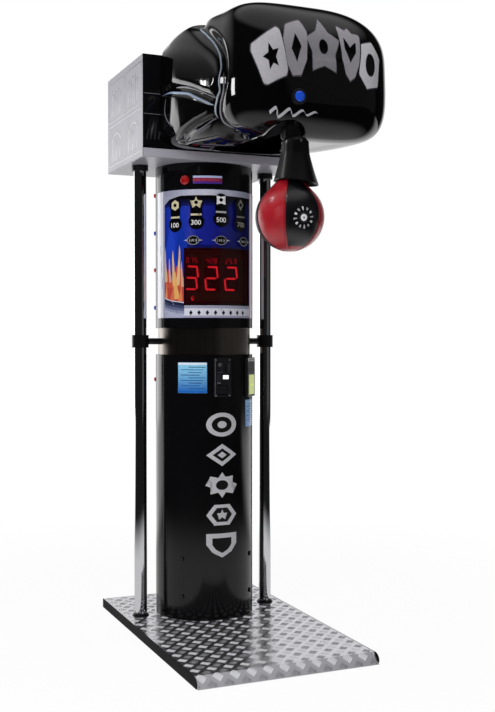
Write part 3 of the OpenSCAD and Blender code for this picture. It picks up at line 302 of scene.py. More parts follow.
def dressNode(node, material, slotName, round=0.8, body="machine", segments=2):
    # the node's own solid with rounded edges
    bm = bmesh.new()
    bm.from_mesh(nodes[node].data)
    bmesh.ops.remove_doubles(bm, verts=bm.verts, dist=0.01 * mm)
    bmesh.ops.dissolve_limit(bm, angle_limit=radians(0.5), verts=bm.verts, edges=bm.edges)
    mesh = bpy.data.meshes.new(node + "Dressed")
    for face in bm.faces:
        face.smooth = True
    bm.to_mesh(mesh)
    bm.free()
    mesh.materials.clear()
    mesh.materials.append(material)
    piece = addObject(node + "Dressed", mesh)
    bevel = piece.modifiers.new("edges", "BEVEL")
    bevel.width = round * mm
    bevel.segments = segments
    bevel.limit_method = "ANGLE"
    bevel.angle_limit = radians(32)
    bevel.harden_normals = False
    weights = piece.modifiers.new("normals", "WEIGHTED_NORMAL")
    weights.keep_sharp = True
    return mount(piece, slotName, node, body=body)


def gridFaces(rows, cols, closed=True):
    span = cols if closed else cols - 1
    return [(i * cols + k, i * cols + (k + 1) % cols, (i + 1) * cols + (k + 1) % cols, (i + 1) * cols + k)
            for i in range(rows - 1) for k in range(span)]


def lathe(name, profile, material, cols=96):
    # profile is radius and height from bottom to top; closed at both ends where the radius is 0
    angles = np.linspace(0, 2 * pi, cols, endpoint=False)
    points = [(r * cos(a), r * sin(a), z) for r, z in profile for a in angles]
    piece = meshPiece(name, points, gridFaces(len(profile), cols), material)
    with editing(piece.data) as bm:
        bmesh.ops.remove_doubles(bm, verts=bm.verts, dist=0.005 * mm)
    return piece


def repeatTree():
    tree = bpy.data.node_groups.new("repeatPiece", "GeometryNodeTree")
    for name, kind in (("Geometry", "Geometry"), ("Piece", "Object"), ("Size", "Float"),
                       ("Material", "Material")):
        tree.interface.new_socket(name=name, in_out="INPUT", socket_type="NodeSocket" + kind)
    tree.interface.new_socket(name="Geometry", in_out="OUTPUT", socket_type="NodeSocketGeometry")
    given = addNode(tree, "NodeGroupInput").outputs
    points = addNode(tree, "GeometryNodeMeshToPoints", {"Mesh": given["Geometry"]})
    piece = addNode(tree, "GeometryNodeObjectInfo", {"Object": given["Piece"]})
    turn = addNode(tree, "GeometryNodeInputNamedAttribute", {"Name": "turn"}, data_type="FLOAT_VECTOR")
    angle = addNode(tree, "FunctionNodeEulerToRotation", {"Euler": turn.outputs["Attribute"]})
    copies = addNode(tree, "GeometryNodeInstanceOnPoints", {
        "Points": points.outputs[0], "Instance": piece.outputs["Geometry"], "Rotation": angle.outputs[0],
        "Scale": given["Size"]})
    solid = addNode(tree, "GeometryNodeRealizeInstances", {"Geometry": copies.outputs[0]})
    painted = addNode(tree, "GeometryNodeSetMaterial", {"Geometry": solid.outputs[0],
                                                       "Material": given["Material"]})
    addNode(tree, "NodeGroupOutput", {"Geometry": painted.outputs[0]})
    return tree


def evaluated(piece):
    graph = bpy.context.evaluated_depsgraph_get()
    return bpy.data.meshes.new_from_object(piece.evaluated_get(graph), depsgraph=graph)


copier = repeatTree()


def repeat(name, shape, places, turns, material, size=1.0):
    # one copy of shape at each place; turns are rotations about X, Y and Z in radians
    mesh = bpy.data.meshes.new(name)
    mesh.from_pydata((np.asarray(places, float) * mm).tolist(), [], [])
    angles = mesh.attributes.new("turn", "FLOAT_VECTOR", "POINT")
    angles.data.foreach_set("vector", np.asarray(turns, np.float32).ravel())
    piece = addObject(name, mesh)
    modifier = piece.modifiers.new("repeat", "NODES")
    modifier.node_group = copier
    sockets = {s.name: s.identifier for s in copier.interface.items_tree if s.in_out == "INPUT"}
    for key, value in (("Piece", shape), ("Size", size), ("Material", material)):
        modifier[sockets[key]] = value
    result = evaluated(piece)
    piece.modifiers.clear()
    piece.data = result
    bpy.data.objects.remove(shape)
    return piece


# Flat prints, drawn in a plane and laid on a surface

def rect(x0, z0, x1, z1):
    return [(x0, z0), (x1, z0), (x1, z1), (x0, z1)]


def regular(x, z, rx, rz, sides, turn=90):
    return [(x + rx * cos(radians(turn + i * 360 / sides)),
             z + rz * sin(radians(turn + i * 360 / sides))) for i in range(sides)]


def disc(x, z, r):
    return regular(x, z, r, r, 40, 0)


def ray(r, degrees):
    return r * cos(radians(degrees)), r * sin(radians(degrees))


def star(x, z, r, points=5, inner=0.42, turn=90):
    return [(x + r * a * (inner if i % 2 else 1), z + r * b * (inner if i % 2 else 1))
            for i, (a, b) in enumerate(regular(0, 0, 1, 1, 2 * points, turn))]


def arcBand(x, z, rx0, rz0, rx1, rz1, a0, a1, count=24):
    # a band between two ellipse arcs about (x, z), angles from +X
    steps = [radians(a0 + (a1 - a0) * i / count) for i in range(count + 1)]
    outer = [(x + rx1 * cos(a), z + rz1 * sin(a)) for a in steps]
    inner = [(x + rx0 * cos(a), z + rz0 * sin(a)) for a in reversed(steps)]
    return outer + inner


def tongue(x, z, height, width, lean, count=16):
    # a flame tongue: full at its foot, swaying to a thin tip
    left, right = [], []
    for i in range(count + 1):
        t = i / count
        spine = x + lean * sin(2.6 * t) * t
        half = width / 2 * (1 - t) ** 0.75 * (1 + 0.25 * sin(7 * t))
        left.append((spine - half, z + height * t))
        right.append((spine + half, z + height * t))
    return right + left[::-1]


def numerals(text, x, z, height):
    # plain numbers as flat polygons, centred on (x, z)
    curve = bpy.data.curves.new("numerals", "FONT")
    curve.body = text
    curve.size = 1.0
    holder = addObject("numerals", curve)
    mesh = evaluated(holder)
    xy = np.array([v.co[:2] for v in mesh.vertices])
    low, high = xy.min(0), xy.max(0)
    xy = (xy - (low + high) / 2) * height / (high[1] - low[1]) + (x, z)
    shapes = [[tuple(xy[i]) for i in p.vertices] for p in mesh.polygons]
    bpy.data.objects.remove(holder)
    return shapes


def printPiece(name, shapes, place, material, step=7.0, lift=0.3, layer=0.06):
    # shapes are (outline, colour) from the lowest to the top one; place(u, lift, z) lays them on the surface
    bm = bmesh.new()
    ink = bm.loops.layers.float_color.new("ink")
    for order, (outline, colour) in enumerate(shapes):
        turn = sum(a[0] * b[1] - b[0] * a[1] for a, b in zip(outline, outline[1:] + outline[:1]))
        outline = outline if turn > 0 else outline[::-1]
        height = lift + layer * order
        face = bm.faces.new([bm.verts.new((u, height, z)) for u, z in outline])
        for corner in face.loops:
            corner[ink] = linear(colour)
    bmesh.ops.triangulate(bm, faces=bm.faces, ngon_method="EAR_CLIP")
    for axis in (0, 2):
        values = [v.co[axis] for v in bm.verts]
        first = floor(min(values) / step) + 1
        for i in range(first, ceil(max(values) / step)):
            at = [0, 0, 0]
            at[axis] = i * step
            cutPlane(bm, at, [float(k == axis) for k in range(3)], 1e-4)
    bmesh.ops.triangulate(bm, faces=bm.faces)
    for vert in bm.verts:
        vert.co = Vector(place(*vert.co)) * mm
    bm.normal_update()
    mesh = bpy.data.meshes.new(name)
    bm.to_mesh(mesh)
    bm.free()
    mesh.materials.append(material)
    return addObject(name, mesh)


columnR = -corners("display_panel")[0][1]


def onColumn(u, lift, z):
    return around(columnR + lift, u / columnR, z)


def arc(angle):
    return radians(angle) * columnR


# Camera

def makeCamera():
    view = {"place": (-1468.2, -3842.9, 1110.2), "tilt": -0.0189, "turn": -0.4065, "lens": 52.76}
    camera = bpy.data.cameras.new("camera")
    camera.lens = view["lens"]
    camera.sensor_width = 36
    camera.clip_end = 60
    holder = addObject("camera", camera)
    holder.location = Vector(view["place"]) * mm
    holder.rotation_euler = (pi / 2 + view["tilt"], 0, view["turn"])
    bpy.context.scene.camera = holder


makeCamera()


# Base

def dressBase():
    dressNode("edge_trims", trimBlack, "trim_black", round=1.0)
    plateLow, plateHigh = corners("tread_plate")
    noseDepth = 35
    rib = {"length": 29, "width": 4.9, "heights": (1.5, 0.8), "spacing": 6.1, "bars": 5, "pitch": 58.5}
    crest = plateLow[1] + noseDepth
    slope = hypot(noseDepth, plateHigh[2] - plateLow[2])
    fall = atan2(plateHigh[2] - plateLow[2], noseDepth)

    def ribShape(high):
        # a lens seen from above with a low crown
        count = 8
        points, faces = [(0, 0, high)], []
        for share, lift in ((1.0, -0.3), (0.86, 0.5), (0.5, 0.9)):
            for i in range(count):
                t = 2 * pi * i / count
                long = rib["length"] / 2 * abs(cos(t)) ** 0.5 * copysign(1, cos(t))
                points.append((long * share, rib["width"] / 2 * sin(t) * share, high * lift))
        for ring in range(2):
            for i in range(count):
                a, b = 1 + ring * count + i, 1 + ring * count + (i + 1) % count
                faces.append((a, b, b + count, a + count))
        faces += [(1 + 2 * count + i, 1 + 2 * count + (i + 1) % count, 0) for i in range(count)]
        return meshPiece("ribShape", points, faces, treadRibPaintedHighlight)

    half = rib["pitch"] / 2
    columnFoot, socket, edge = columnR + 4, 42, plateHigh[0] - 3
    poleX = middle("right_pole", 0)
    # groups lean left and right by turns; the ones that lean right carry a painted highlight in the pale matt
    # copy, the others keep the plate's own metal
    for name, odd, paint in (("treadRibsBright", 0, treadRibPaintedHighlight), ("treadRibsDark", 1, treadMetal)):
        places, turns = [], []
        diagonal = radians(-45 if odd else 45)
        for i in range(-12 + odd, 13, 2):
            for j in range(-2 + odd, 40, 2):
                x, v = i * half - 14, -20 + j * half  # v runs back from the foot of the nose
                for k in range(rib["bars"]):
                    shift = (k - (rib["bars"] - 1) / 2) * rib["spacing"]
                    places.append((x - shift * sin(diagonal), v + shift * cos(diagonal), 0))
                    turns.append((0, 0, diagonal))
        ribs = repeat(name, ribShape(rib["heights"][odd]), places, turns, paint)
        xyz = np.zeros(len(ribs.data.vertices) * 3, np.float32)
        ribs.data.vertices.foreach_get("co", xyz)
        x, v, h = (xyz.reshape(-1, 3) / mm).T
        flat = v > slope
        y = np.where(flat, crest + v - slope, plateLow[1] + v * cos(fall) - h * sin(fall))
        z = np.where(flat, plateHigh[2] + h, plateLow[2] + v * sin(fall) + h * cos(fall))
        ribs.data.vertices.foreach_set("co", (np.stack([x, y, z], -1) * mm).astype(np.float32).ravel())
        out = ((np.hypot(x, y) < columnFoot) | (np.hypot(np.abs(x) - poleX, y) < socket) | (np.abs(x) > edge)
               | (y > plateHigh[1] - 4) | (z < plateLow[2] + 2) | (v < 3))
        with editing(ribs.data) as bm:
            bmesh.ops.delete(bm, geom=[vert for vert in bm.verts if out[vert.index]], context="VERTS")
        ribs.data.polygons.foreach_set("use_smooth", [True] * len(ribs.data.polygons))
        mount(ribs, "tread")


dressBase()
print("base dressed")


# Column

def boltHeads():
    bolt = {"head": 9.0, "height": 5.0, "socket": 3.8, "angle": 47.5}
    head, height, socket = bolt["head"], bolt["height"], bolt["socket"]
    profile = [(head, 0.1), (head, height - 1.4), (head * 0.8, height - 0.2), (socket, height - 0.3),
               (socket, 0.4), (0, 0.4)]
    shape = lathe("boltShape", profile, satinBlack, cols=24)
    low, high = corners("column_bolts")
    places, turns = [], []
    for degrees in (-bolt["angle"], bolt["angle"], 180 - bolt["angle"], 180 + bolt["angle"]):
        t = radians(degrees)
        for z in (low[2] + head, high[2] - head):
            places.append(around(columnR + 0.2, t, z))
            turns.append((pi / 2, 0, t))
    mount(repeat("boltHeads", shape, places, turns, satinBlack), "brace_black")


def dressColumn():
    for node in ("pole_braces", "pole_sockets"):
        dressNode(node, satinBlack, "brace_black", round=1.2)
    boltHeads()


dressColumn()


def ornament(kind, x, z, w, h):
    # a plain silver shape with a dark one on it, and mostly a silver heart
    silver, dark = "#cfcfd4", "#0c0b0d"
    inner = {"ring": (0.33, 0.15), "diamond": (0.3, 0.15), "hexagon": (0.34, 0)}
    sides = {"ring": (48, 48, 32), "diamond": (4, 4, 4), "hexagon": (6, 6, 0)}
    if kind == "star":
        return [([(x + (p - x) * w / h, q) for p, q in star(x, z, h / 2 * 1.05, 8, 0.62)], silver),
                (regular(x, z, w * 0.2, h * 0.2, 32), dark)]
    if kind == "shield":
        outline = ((-1, 1), (1, 1), (1, 0.1), (0.62, -0.55), (0, -1), (-0.62, -0.55), (-1, 0.1))
        return [([(x + p * w / part, z + q * h / part) for p, q in outline], colour)
                for part, colour in ((2, silver), (3.2, dark))]
    turn = 0 if kind == "hexagon" else 90
    layers = zip((0.5, *inner[kind]), sides[kind], (silver, dark, silver))
    shapes = [(regular(x, z, w * share, h * share, count, turn), colour)
              for share, count, colour in layers if share]
    return shapes if kind != "hexagon" else shapes + [(star(x, z, h * 0.24, 5), silver)]


def columnOrnaments():
    width = 124
    rows = {"ring": (731.5, 821.6), "diamond": (619.5, 704), "star": (501.8, 593.8), "hexagon": (389.7, 480),
            "shield": (272.8, 364.5)}
    shapes = []
    for kind, (low, high) in rows.items():
        shapes += ornament(kind, 0, (low + high) / 2, width, high - low)
    mount(printPiece("columnOrnaments", shapes, onColumn, silverInk), "stainless")


def mixed(stops, at):
    # colour between the stops, given as position and colour
    spots = [s for s, _ in stops]
    parts = [np.interp(at, spots, [int(c[i:i + 2], 16) for _, c in stops]) for i in (1, 3, 5)]
    return "#" + "".join("%02x" % int(round(v)) for v in parts)


def displayPrint():
    low, high = (c[2] for c in corners("display_panel"))
    windowLow, windowHigh = (c[2] for c in corners("display_window"))
    edge, window = arc(89), arc(44.7)
    silver, pale, black, cream, maroon = "#9a9cb0", "#cfd0dc", "#040406", "#c8bf9e", "#1a0306"
    # night blue that darkens toward the right and at the window
    night = [(-75, "#10248a"), (-60, "#1734ac"), (-48, "#1632a8"), (-32, "#142290"), (-8, "#131b80"),
             (12, "#10166a"), (30, "#0b1050")]
    shapes = [(rect(-edge, low, edge, high), "#0b1050")]
    for a in np.arange(-76, 46, 4):
        shapes.append((rect(arc(a), low + 40, arc(a + 4), high), mixed(night, a + 2)))
    shapes += [(rect(arc(-45), windowHigh, arc(45), windowHigh + 16), "#0b1058"),
               (tongue(arc(-64), windowLow + 120, 240, 60, 12), "#1a3cb8"),
               (tongue(arc(-47), windowLow + 150, 200, 54, -10), "#0d2f9c")]
    for drop, colour in ((62, "#0d1258"), (52, "#0a0d3c"), (43, "#07081f"), (35, black)):
        shapes.append((rect(arc(-76), high - drop, arc(46), high), colour))
    # a fire beside the window: a salmon bed, tongues over it and pale thin licks
    shapes.append((rect(arc(-74), windowLow, arc(-44), windowLow + 78), "#b4463a"))
    flames = [
        (-71, 60, 62, 30, 6, "#b4463a"), (-64, 58, 76, 40, -6, "#c0503c"), (-55, 56, 84, 44, 8, "#bb4c3c"),
        (-47, 60, 70, 34, -8, "#c05444"), (-70, 80, 132, 15, -9, "#d2ac84"),
        (-63, 78, 92, 12, -9, "#c49a94"), (-57, 60, 140, 16, -12, "#dcae70"),
        (-52, 66, 152, 14, 12, "#d8b27c"), (-46, 60, 100, 12, -8, "#cf9c7c"),
        (-54, 14, 106, 22, -10, "#dca45e"), (-70, 10, 72, 14, 6, "#d88458"),
        (-60, 8, 62, 18, 8, "#cc6a4a"), (-49, 6, 58, 16, 6, "#d67c50")]
    shapes += [(tongue(arc(a), windowLow + foot, tall, wide, lean), colour)
               for a, foot, tall, wide, lean, colour in flames]
    # foot band, slanted and darker on its left
    slant = [(arc(-76), low), (arc(-44), low), (arc(-44), windowLow + 2), (arc(-62), windowLow + 10),
             (arc(-76), windowLow + 24)]
    shapes.append((slant, pale))
    for share, colour in ((-3, "#1e2540"), (-14, "#39405f"), (-24, "#5d6384"), (-34, "#868ba8"),
                          (-44, "#a6a9c0")):
        shapes.append(([(x, max(low, z + share) if z > low else low) for x, z in slant], colour))
    shapes += [(rect(arc(-44), low, edge, windowLow - 10), silver),
               (rect(arc(-44), low + 9, edge, low + 36), pale),
               (rect(arc(-44.7), windowLow - 10, arc(44.7), windowLow + 2), maroon),
               (rect(arc(-44.7), windowHigh - 2, arc(44.7), windowHigh + 5), maroon)]
    shapes += [(regular(arc(-36 + 9.4 * i), low + 20, 7, 10, 4), "#20222e") for i in range(8)]
    # silver edges and top band with a wider left end
    band = [(-89, "#8a8ca0"), (-60, "#9496aa"), (-20, "#c4c5d4"), (15, "#aeb0c4"), (50, "#8a8ca2")]
    shapes.append(([(arc(-76), high - 62), (arc(-64), high - 34), (arc(-46), high - 22),
                    (arc(-76), high - 22)], silver))
    for a in np.arange(-76, 46, 6):
        shapes.append((rect(arc(a), high - 23, arc(a + 6), high), mixed(band, a + 3)))
    shapes += [(rect(-edge, low, arc(-72.5), high), silver), (rect(-edge, low, arc(-75.5), high), "#d9dae4"),
               (rect(arc(44.9), low, edge, high), "#c8b9c2")]
    # four roundels with plain numbers, a sign over each and a short bar between
    for index, (a, z, number) in enumerate(((-55.7, 1532, "100"), (-29.7, 1540, "300"), (-1.9, 1550, "500"),
                                            (22.8, 1536, "700"))):
        x = arc(a)
        shapes += [(disc(x, z, 29), black), (disc(x, z + 70, 26), black),
                   (rect(x - 22, z + 18, x + 22, z + 54), black),
                   (rect(x - 20, z + 23, x + 20, z + 30), (cream, cream, "#a8a8ac", "#6c6c68")[index])]
        sign = (regular(x, z + 72, 19, 20, 6), star(x, z + 71, 24), star(x, z + 71, 24, 4, 0.5, 45),
                regular(x, z + 72, 14, 22, 4))[index]
        shapes += [(sign, (cream, cream, "#e6e6ea", "#77776f")[index]), (disc(x, z + 72, 7), black)]
        shapes += [(poly, "#f0f0f2" if index < 3 else "#a2a298") for poly in numerals(number, x, z - 3, 18)]
    for a in (-32.5, -2.5, 27):
        x, z = arc(a), windowHigh + 32
        shapes += [(regular(x, z, 35, 8, 4), "#a4a8ae"), (regular(x, z, 22, 17, 24), "#8e9096"),
                   (regular(x, z, 20, 15, 24), black), (rect(x - 14, z - 5, x + 14, z + 5), "#8f8f92")]
    sheet = printPiece("displayPrint", shapes, onColumn, panelInk, lift=0.15, layer=0.012)
    with editing(sheet.data) as bm:
        for at, normal in ((-window, -1), (window, 1)):
            angle = at / columnR
            where = Vector(around(columnR, angle, 0)) * mm
            cutPlane(bm, where, Vector((cos(angle), sin(angle), 0)) * normal, 1e-7)
        for z in (windowLow, windowHigh, low + 1, high - 1):
            cutPlane(bm, (0, 0, z * mm), (0, 0, 1), 1e-7)
        doomed = []
        for face in bm.faces:
            centre = face.calc_center_median() / mm
            u = atan2(centre.x, -centre.y) * columnR
            inWindow = abs(u) < window and windowLow < centre.z < windowHigh
            if inWindow or abs(u) > edge or not low + 1 < centre.z < high - 1:
                doomed.append(face)
        bmesh.ops.delete(bm, geom=doomed, context="FACES")
    mount(sheet, "display_print")
    paintNode(finish("panelFilmBase", "#14226a", 0.2, mottle=0.2), "display_panel")


def headerPrint():
    header = {"z": 1697, "from": -33.5, "to": 0, "half": 15, "lampAt": -43, "lampR": 18, "lampHigh": 11}
    z, left, right = header["z"], arc(header["from"]), arc(header["to"])
    shapes = [(rect(left, z - header["half"], right, z + header["half"]), "#4a2c86"),
              (rect(left, z + 7, right, z + header["half"]), "#b0b8dc"),
              (rect(left, z - 7, right, z + 7), "#7a2244")]
    shapes += [(rect(left + 9 * i + 3, z - 5, left + 9 * i + 8, z + 4), "#b23a52") for i in range(11)]
    mount(printPiece("headerPlate", shapes, onColumn, panelInk, lift=0.8), "display_print")
    r, angle = header["lampR"], radians(header["lampAt"])
    profile = [(0, 0), (r, 0)] + [(r * cos(t), 1 + header["lampHigh"] * sin(t))
                                  for t in np.linspace(0, pi / 2, 12)]
    dome = lathe("headerLamp", profile, headerRed, cols=40)
    for vert in dome.data.vertices:
        x, y, h = vert.co / mm
        across = Vector((x * cos(angle), x * sin(angle), y))
        vert.co = (Vector(around(columnR + h, angle, z)) + across) * mm
    dome.data.flip_normals()
    mount(dome, "lamp_red")


def digits():
    # seven lit bars a digit, as hexagonal strips on the face of each module
    bar = {"length": 41.5, "width": 7.2, "height": 1.2, "slant": 0.1, "middle": -20, "pitch": 80,
           "smallPitch": 17, "creditX": -104, "creditY": -150, "creditZ": 1254, "creditHigh": 17}
    lit = {"0": "abcdef", "2": "abged", "3": "abgcd", "4": "fgbc", "5": "afgcd", "7": "abc", "8": "abcdefg"}
    spots = {"a": (0, 1, 0), "b": (0.5, 0.5, 1), "c": (0.5, -0.5, 1), "d": (0, -1, 0), "e": (-0.5, -0.5, 1),
             "f": (-0.5, 0.5, 1), "g": (0, 0, 0)}
    low, high = corners("led_digits")
    faceY = low[1]
    big, small = (low[2] + 49, 42), (high[2] - 12, 8.5)
    rows = [(bar["middle"] + (i - 1) * bar["pitch"], *big, figure) for i, figure in enumerate("322")]
    rows += [(bar["middle"] + (i - 1) * bar["pitch"] + (k - 1) * bar["smallPitch"], *small, figure)
             for i, group in enumerate(("075", "428", "253")) for k, figure in enumerate(group)]

    def barShape(scale):
        l, w, h = bar["length"] / 2 * scale, bar["width"] / 2 * scale, bar["height"]
        outline = [(-l, 0), (-l + w, -w), (l - w, -w), (l, 0), (l - w, w), (-l + w, w)]
        points = [(x, 0, z) for x, z in outline] + [(x * 0.97, -h, z * 0.9) for x, z in outline]
        faces = [(i, (i + 1) % 6, 6 + (i + 1) % 6, 6 + i) for i in range(6)] + [tuple(range(6, 12))]
        return meshPiece("barShape", points, faces, segmentLit, smooth=False)

    for name, size, paint in (("largeDigits", big[1], segmentLit), ("smallDigits", small[1], segmentDim)):
        places, turns = [], []
        for x, z, half, figure in rows:
            reach = half * 1.02
            for key in lit[figure] if half == size else "":
                sx, sz, upright = spots[key]
                places.append((x + sx * reach + sz * reach * bar["slant"], faceY - 0.1, z + sz * reach))
                turns.append((0, pi / 2 - bar["slant"] if upright else 0, 0))
        mount(repeat(name, barShape(size / big[1]), places, turns, paint), "led_red")
    zero = numerals("0", bar["creditX"], bar["creditZ"], bar["creditHigh"])
    plane = lambda u, lift, z: (u, bar["creditY"] - lift, z)
    ink = printedInk("litCreditDigit", light=1.6)
    mount(printPiece("creditDigit", [(poly, "#ff2233") for poly in zero], plane, ink), "led_red")


columnOrnaments()
displayPrint()
headerPrint()
digits()
print("column dressed")


# Coin and note entry, cards

def dressEntries():
    low, high = corners("coin_plate")
    dressNode("coin_plate", blackAbs, "coin_black", round=1.4)
    dressNode("note_acceptor", blackAbs, "note_black", round=1.2)
    dressNode("note_mouth", mouthLit, "note_lit", round=1.0)
    dressNode("coin_window", whiteLit, "coin_white", round=0.6)
    face = low[1]
    cornersXZ = [(x, z) for x in (low[0] + 7, high[0] - 7) for z in (low[2] + 6.5, high[2] - 6.5)]
    screw = lathe("screwShape", [(3.4, 0), (3.2, 0.9), (2.2, 1.6), (0, 1.9)], groundSteel, cols=16)
    screws = repeat("coinScrews", screw, [(x, face, z) for x, z in cornersXZ],
                    [(pi / 2, 0, 0)] * 4, groundSteel)
    mount(screws, "chrome")
    plane = lambda u, lift, z: (u, face - lift, z)
    marks = [(rect(low[0] + 2, low[2] + 2, low[0] + 3.4, high[2] - 2), "#7a7a86"),
             (rect(-22, low[2] + 92, -5, low[2] + 93.4), "#5a5a66"),
             (rect(-4, low[2] + 90, -3, low[2] + 130), "#4a4a56"),
             (rect(20, low[2] + 94, 29, low[2] + 128), "#24242c"),
             (rect(-25, low[2] + 50, -8, low[2] + 86), "#1f1f26"),
             (rect(-23, low[2] + 52, -10, low[2] + 54), "#8a8a94")]
    mount(printPiece("coinPlateMarks", marks, plane, panelInk, lift=0.05, layer=0.03), "coin_black")
    note = {"angle": radians(46), "half": 38, "proud": 9}
    half = note["half"]

    def onNote(u, lift, z):
        x, y, _ = around(columnR + note["proud"] + lift, note["angle"], z)
        return x + u * cos(note["angle"]), y + u * sin(note["angle"]), z

    shapes = [(rect(-half + 2, 1014, half - 2, 1026), "#c9c9c4"),
              (rect(-half + 9, 1017, half - 9, 1023), "#8f908c"),
              (rect(-half + 6, 970, half - 6, 1008), "#060607")]
    shapes += [(rect(-24, 976 + 7 * i, 24, 978.5 + 7 * i), "#202024") for i in range(4)]
    mount(printPiece("noteTop", shapes, onNote, panelInk, lift=0.15), "note_black")
    print("entries dressed")


def cards():
    def card(name, a0, a1, z0, z1, top, bottom, title):
        u0, u1 = arc(a0) + 1.2, arc(a1) - 1.2
        count = 14
        first, last = linear(top), linear(bottom)
        shapes = []
        for i in range(count):
            t = i / (count - 1)
            mix = blend(first, last, t)[:3]
            back = [min(255, round((1.055 * c ** (1 / 2.4) - 0.055) * 255)) for c in mix]
            zTop = z1 - 1.2 - (z1 - z0 - 2.4) * i / count
            shapes.append((rect(u0, z0 + 1.2, u1, zTop), "#%02x%02x%02x" % tuple(back)))
        if title:
            shapes.append((rect(u0, z1 - 9, u1, z1 - 1.2), "#dfe9f2"))
        for i in range(9):
            z = z1 - 18 - i * (z1 - z0 - 26) / 9
            start, end = u0 + (u1 - u0) * (0.1 if i % 2 else 0.38), u1 - 6 - 7 * (i % 4)
            shapes.append((rect(start, z - 1.3, end, z + 1.3), "#1f5f9a" if i % 3 else "#12406e"))
        mount(printPiece(name, shapes, onColumn, panelInk, lift=1.2, layer=0.012), "card_print")

    card("leftCard", -52, -17.5, 896, 1012, "#8fd0ec", "#1c62b4", True)
    card("rightCard", 35, 57, 762, 866, "#9cc4ea", "#5d8fce", False)
    paintNode(finish("cardEdge", "#3b78b8", 0.3), "instruction_cards")


dressEntries()
cards()


# Head box

def dressHead():
    dressNode("head_floor", boxPaint, "head_grey", round=1.2)
    dressNode("head_front_panel", frontPaint, "head_black", round=1.0)
    dressNode("head_shell", boxPaint, "head_grey", round=1.5)
    dressNode("head_rear_door", boxPaint, "head_grey", round=1.2, body="head_rear_door")
    low, high = corners("head_shell")
    line, faint = "#4a4a55", "#8e8e9c"
    drawn = {"front": -205, "back": high[1] - 12, "line": 3,
             "rows": ((low[2] + 18, low[2] + 176), (low[2] + 190, high[2] - 22))}
    thick = drawn["line"]
    for name, side in (("leftFrames", -1), ("rightFrames", 1)):
        def onSide(u, lift, z, side=side):
            return (side * (abs(low[0]) + lift), side * u, z)

        u0, u1 = sorted((side * drawn["front"], side * drawn["back"]))
        centre = (u0 + u1) / 2
        shapes = []
        for a, b in ((u0 + 16, centre - 6), (centre + 6, u1 - 14)):
            for z0, z1 in drawn["rows"]:
                shapes += [(edge, line) for edge in (
                    rect(a, z0, b, z0 + thick), rect(a, z1 - thick, b, z1), rect(a, z0, a + thick, z1),
                    rect(b - thick, z0, b, z1))]
                w, h = b - a, z1 - z0
                for i in range(5):
                    x = a + w * (0.2 + 0.13 * i)
                    shapes.append((tongue(x, z0 + h * 0.12, h * (0.72 - 0.1 * (i % 3)), w * 0.035, w * 0.1),
                                   line if i % 2 else faint))
                bow = arcBand(a + w * 0.5, z0 + h * 0.45, w * 0.28, h * 0.3, w * 0.31, h * 0.33, 20, 170)
                shapes.append((bow, line))
        mount(printPiece(name, shapes, onSide, panelInk, step=40, lift=0.12, layer=0.004), "head_black")
    frontY, boxFoot = corners("head_front_panel")[0][1], corners("head_floor")[0][2]
    lines = [(rect(-313, z - 1.2, -246, z + 1.2), "#5c5c64") for z in (low[2] + 152, low[2] + 226)]
    lines += [(tongue(-300 + 15 * i, low[2] + 60, 70 + 18 * (i % 3), 5, 14), "#26262c") for i in range(4)]
    mount(printPiece("frontLip", [(rect(-314, boxFoot + 1, 314, boxFoot + 32), "#a5a3ac")],
                     lambda u, lift, z: (u, frontY - lift, z), boxPaint, step=60, lift=0.4), "head_grey")
    mount(printPiece("frontLines", lines, lambda u, lift, z: (u, frontY - lift, z), panelInk, step=60),
          "head_black")


dressHead()
print("head box dressed")


# Glove

glove = {"length": 640, "wall": 5, "left": -205, "right": 388, "drop": 5, "height": 462, "wristHalf": 250,
         "wristLow": 37, "wristHigh": 415, "domeHigh": 443, "cornerRound": 165, "noseTop": 210,
         "noseLow": 130, "taper": 0.03, "grooveDepth": 2.6, "grooveWidth": 5.5, "frontBulge": 4.0,
         "cornerFull": 0.25}
boxFront = -corners("head_front_panel")[0][1]
boxLow = corners("head_floor")[0][2]
gloveFront = boxFront + glove["length"]
fistMid = (glove["left"] + glove["right"]) / 2
fistHalf = (glove["right"] - glove["left"]) / 2
fistLow = -glove["drop"]
fistHigh = glove["height"] - glove["drop"]
stations = np.array([
    [boxFront, 0, glove["wristHalf"], glove["wristLow"], glove["wristHigh"], 6.6],
    [boxFront + 0.225 * glove["length"], 0, glove["wristHalf"] + 6, (glove["wristLow"] + fistLow) / 2 - 5,
     glove["domeHigh"], 5],
    [boxFront + 0.46 * glove["length"], fistMid * 0.45, (glove["wristHalf"] + 6 + fistHalf) / 2, fistLow,
     (glove["domeHigh"] + fistHigh) / 2, 3.8],
    [boxFront + 0.68 * glove["length"], fistMid, fistHalf, fistLow, fistHigh, 3.4]])


def noseCut(half, r, d):
    ahead = np.maximum(d - (gloveFront - r), 0)
    return half - r + np.sqrt(np.maximum(r * r - ahead ** 2, 0))


def section(d):
    # middle x, half width, middle level, half height above and below, exponent
    m = [sum(np.interp(d + o, stations[:, 0], stations[:, k]) for o in (-56, -28, 0, 28, 56)) / 5
         for k in range(6)]
    half = (m[4] - m[3]) / 2
    return (m[1], noseCut(m[2], glove["cornerRound"], d), (m[3] + m[4]) / 2,
            noseCut(half, glove["noseTop"], d), noseCut(half, glove["noseLow"], d), m[5])


def cornerExponent(n, c, d):
    # c and d are the cosine and sine of the angle: fuller at the upper left and lower right
    w = -2 * c * d
    return n * (1 + glove["cornerFull"] * np.where(w > 0, w, np.where(c > 0, 0.4 * w, 0)))


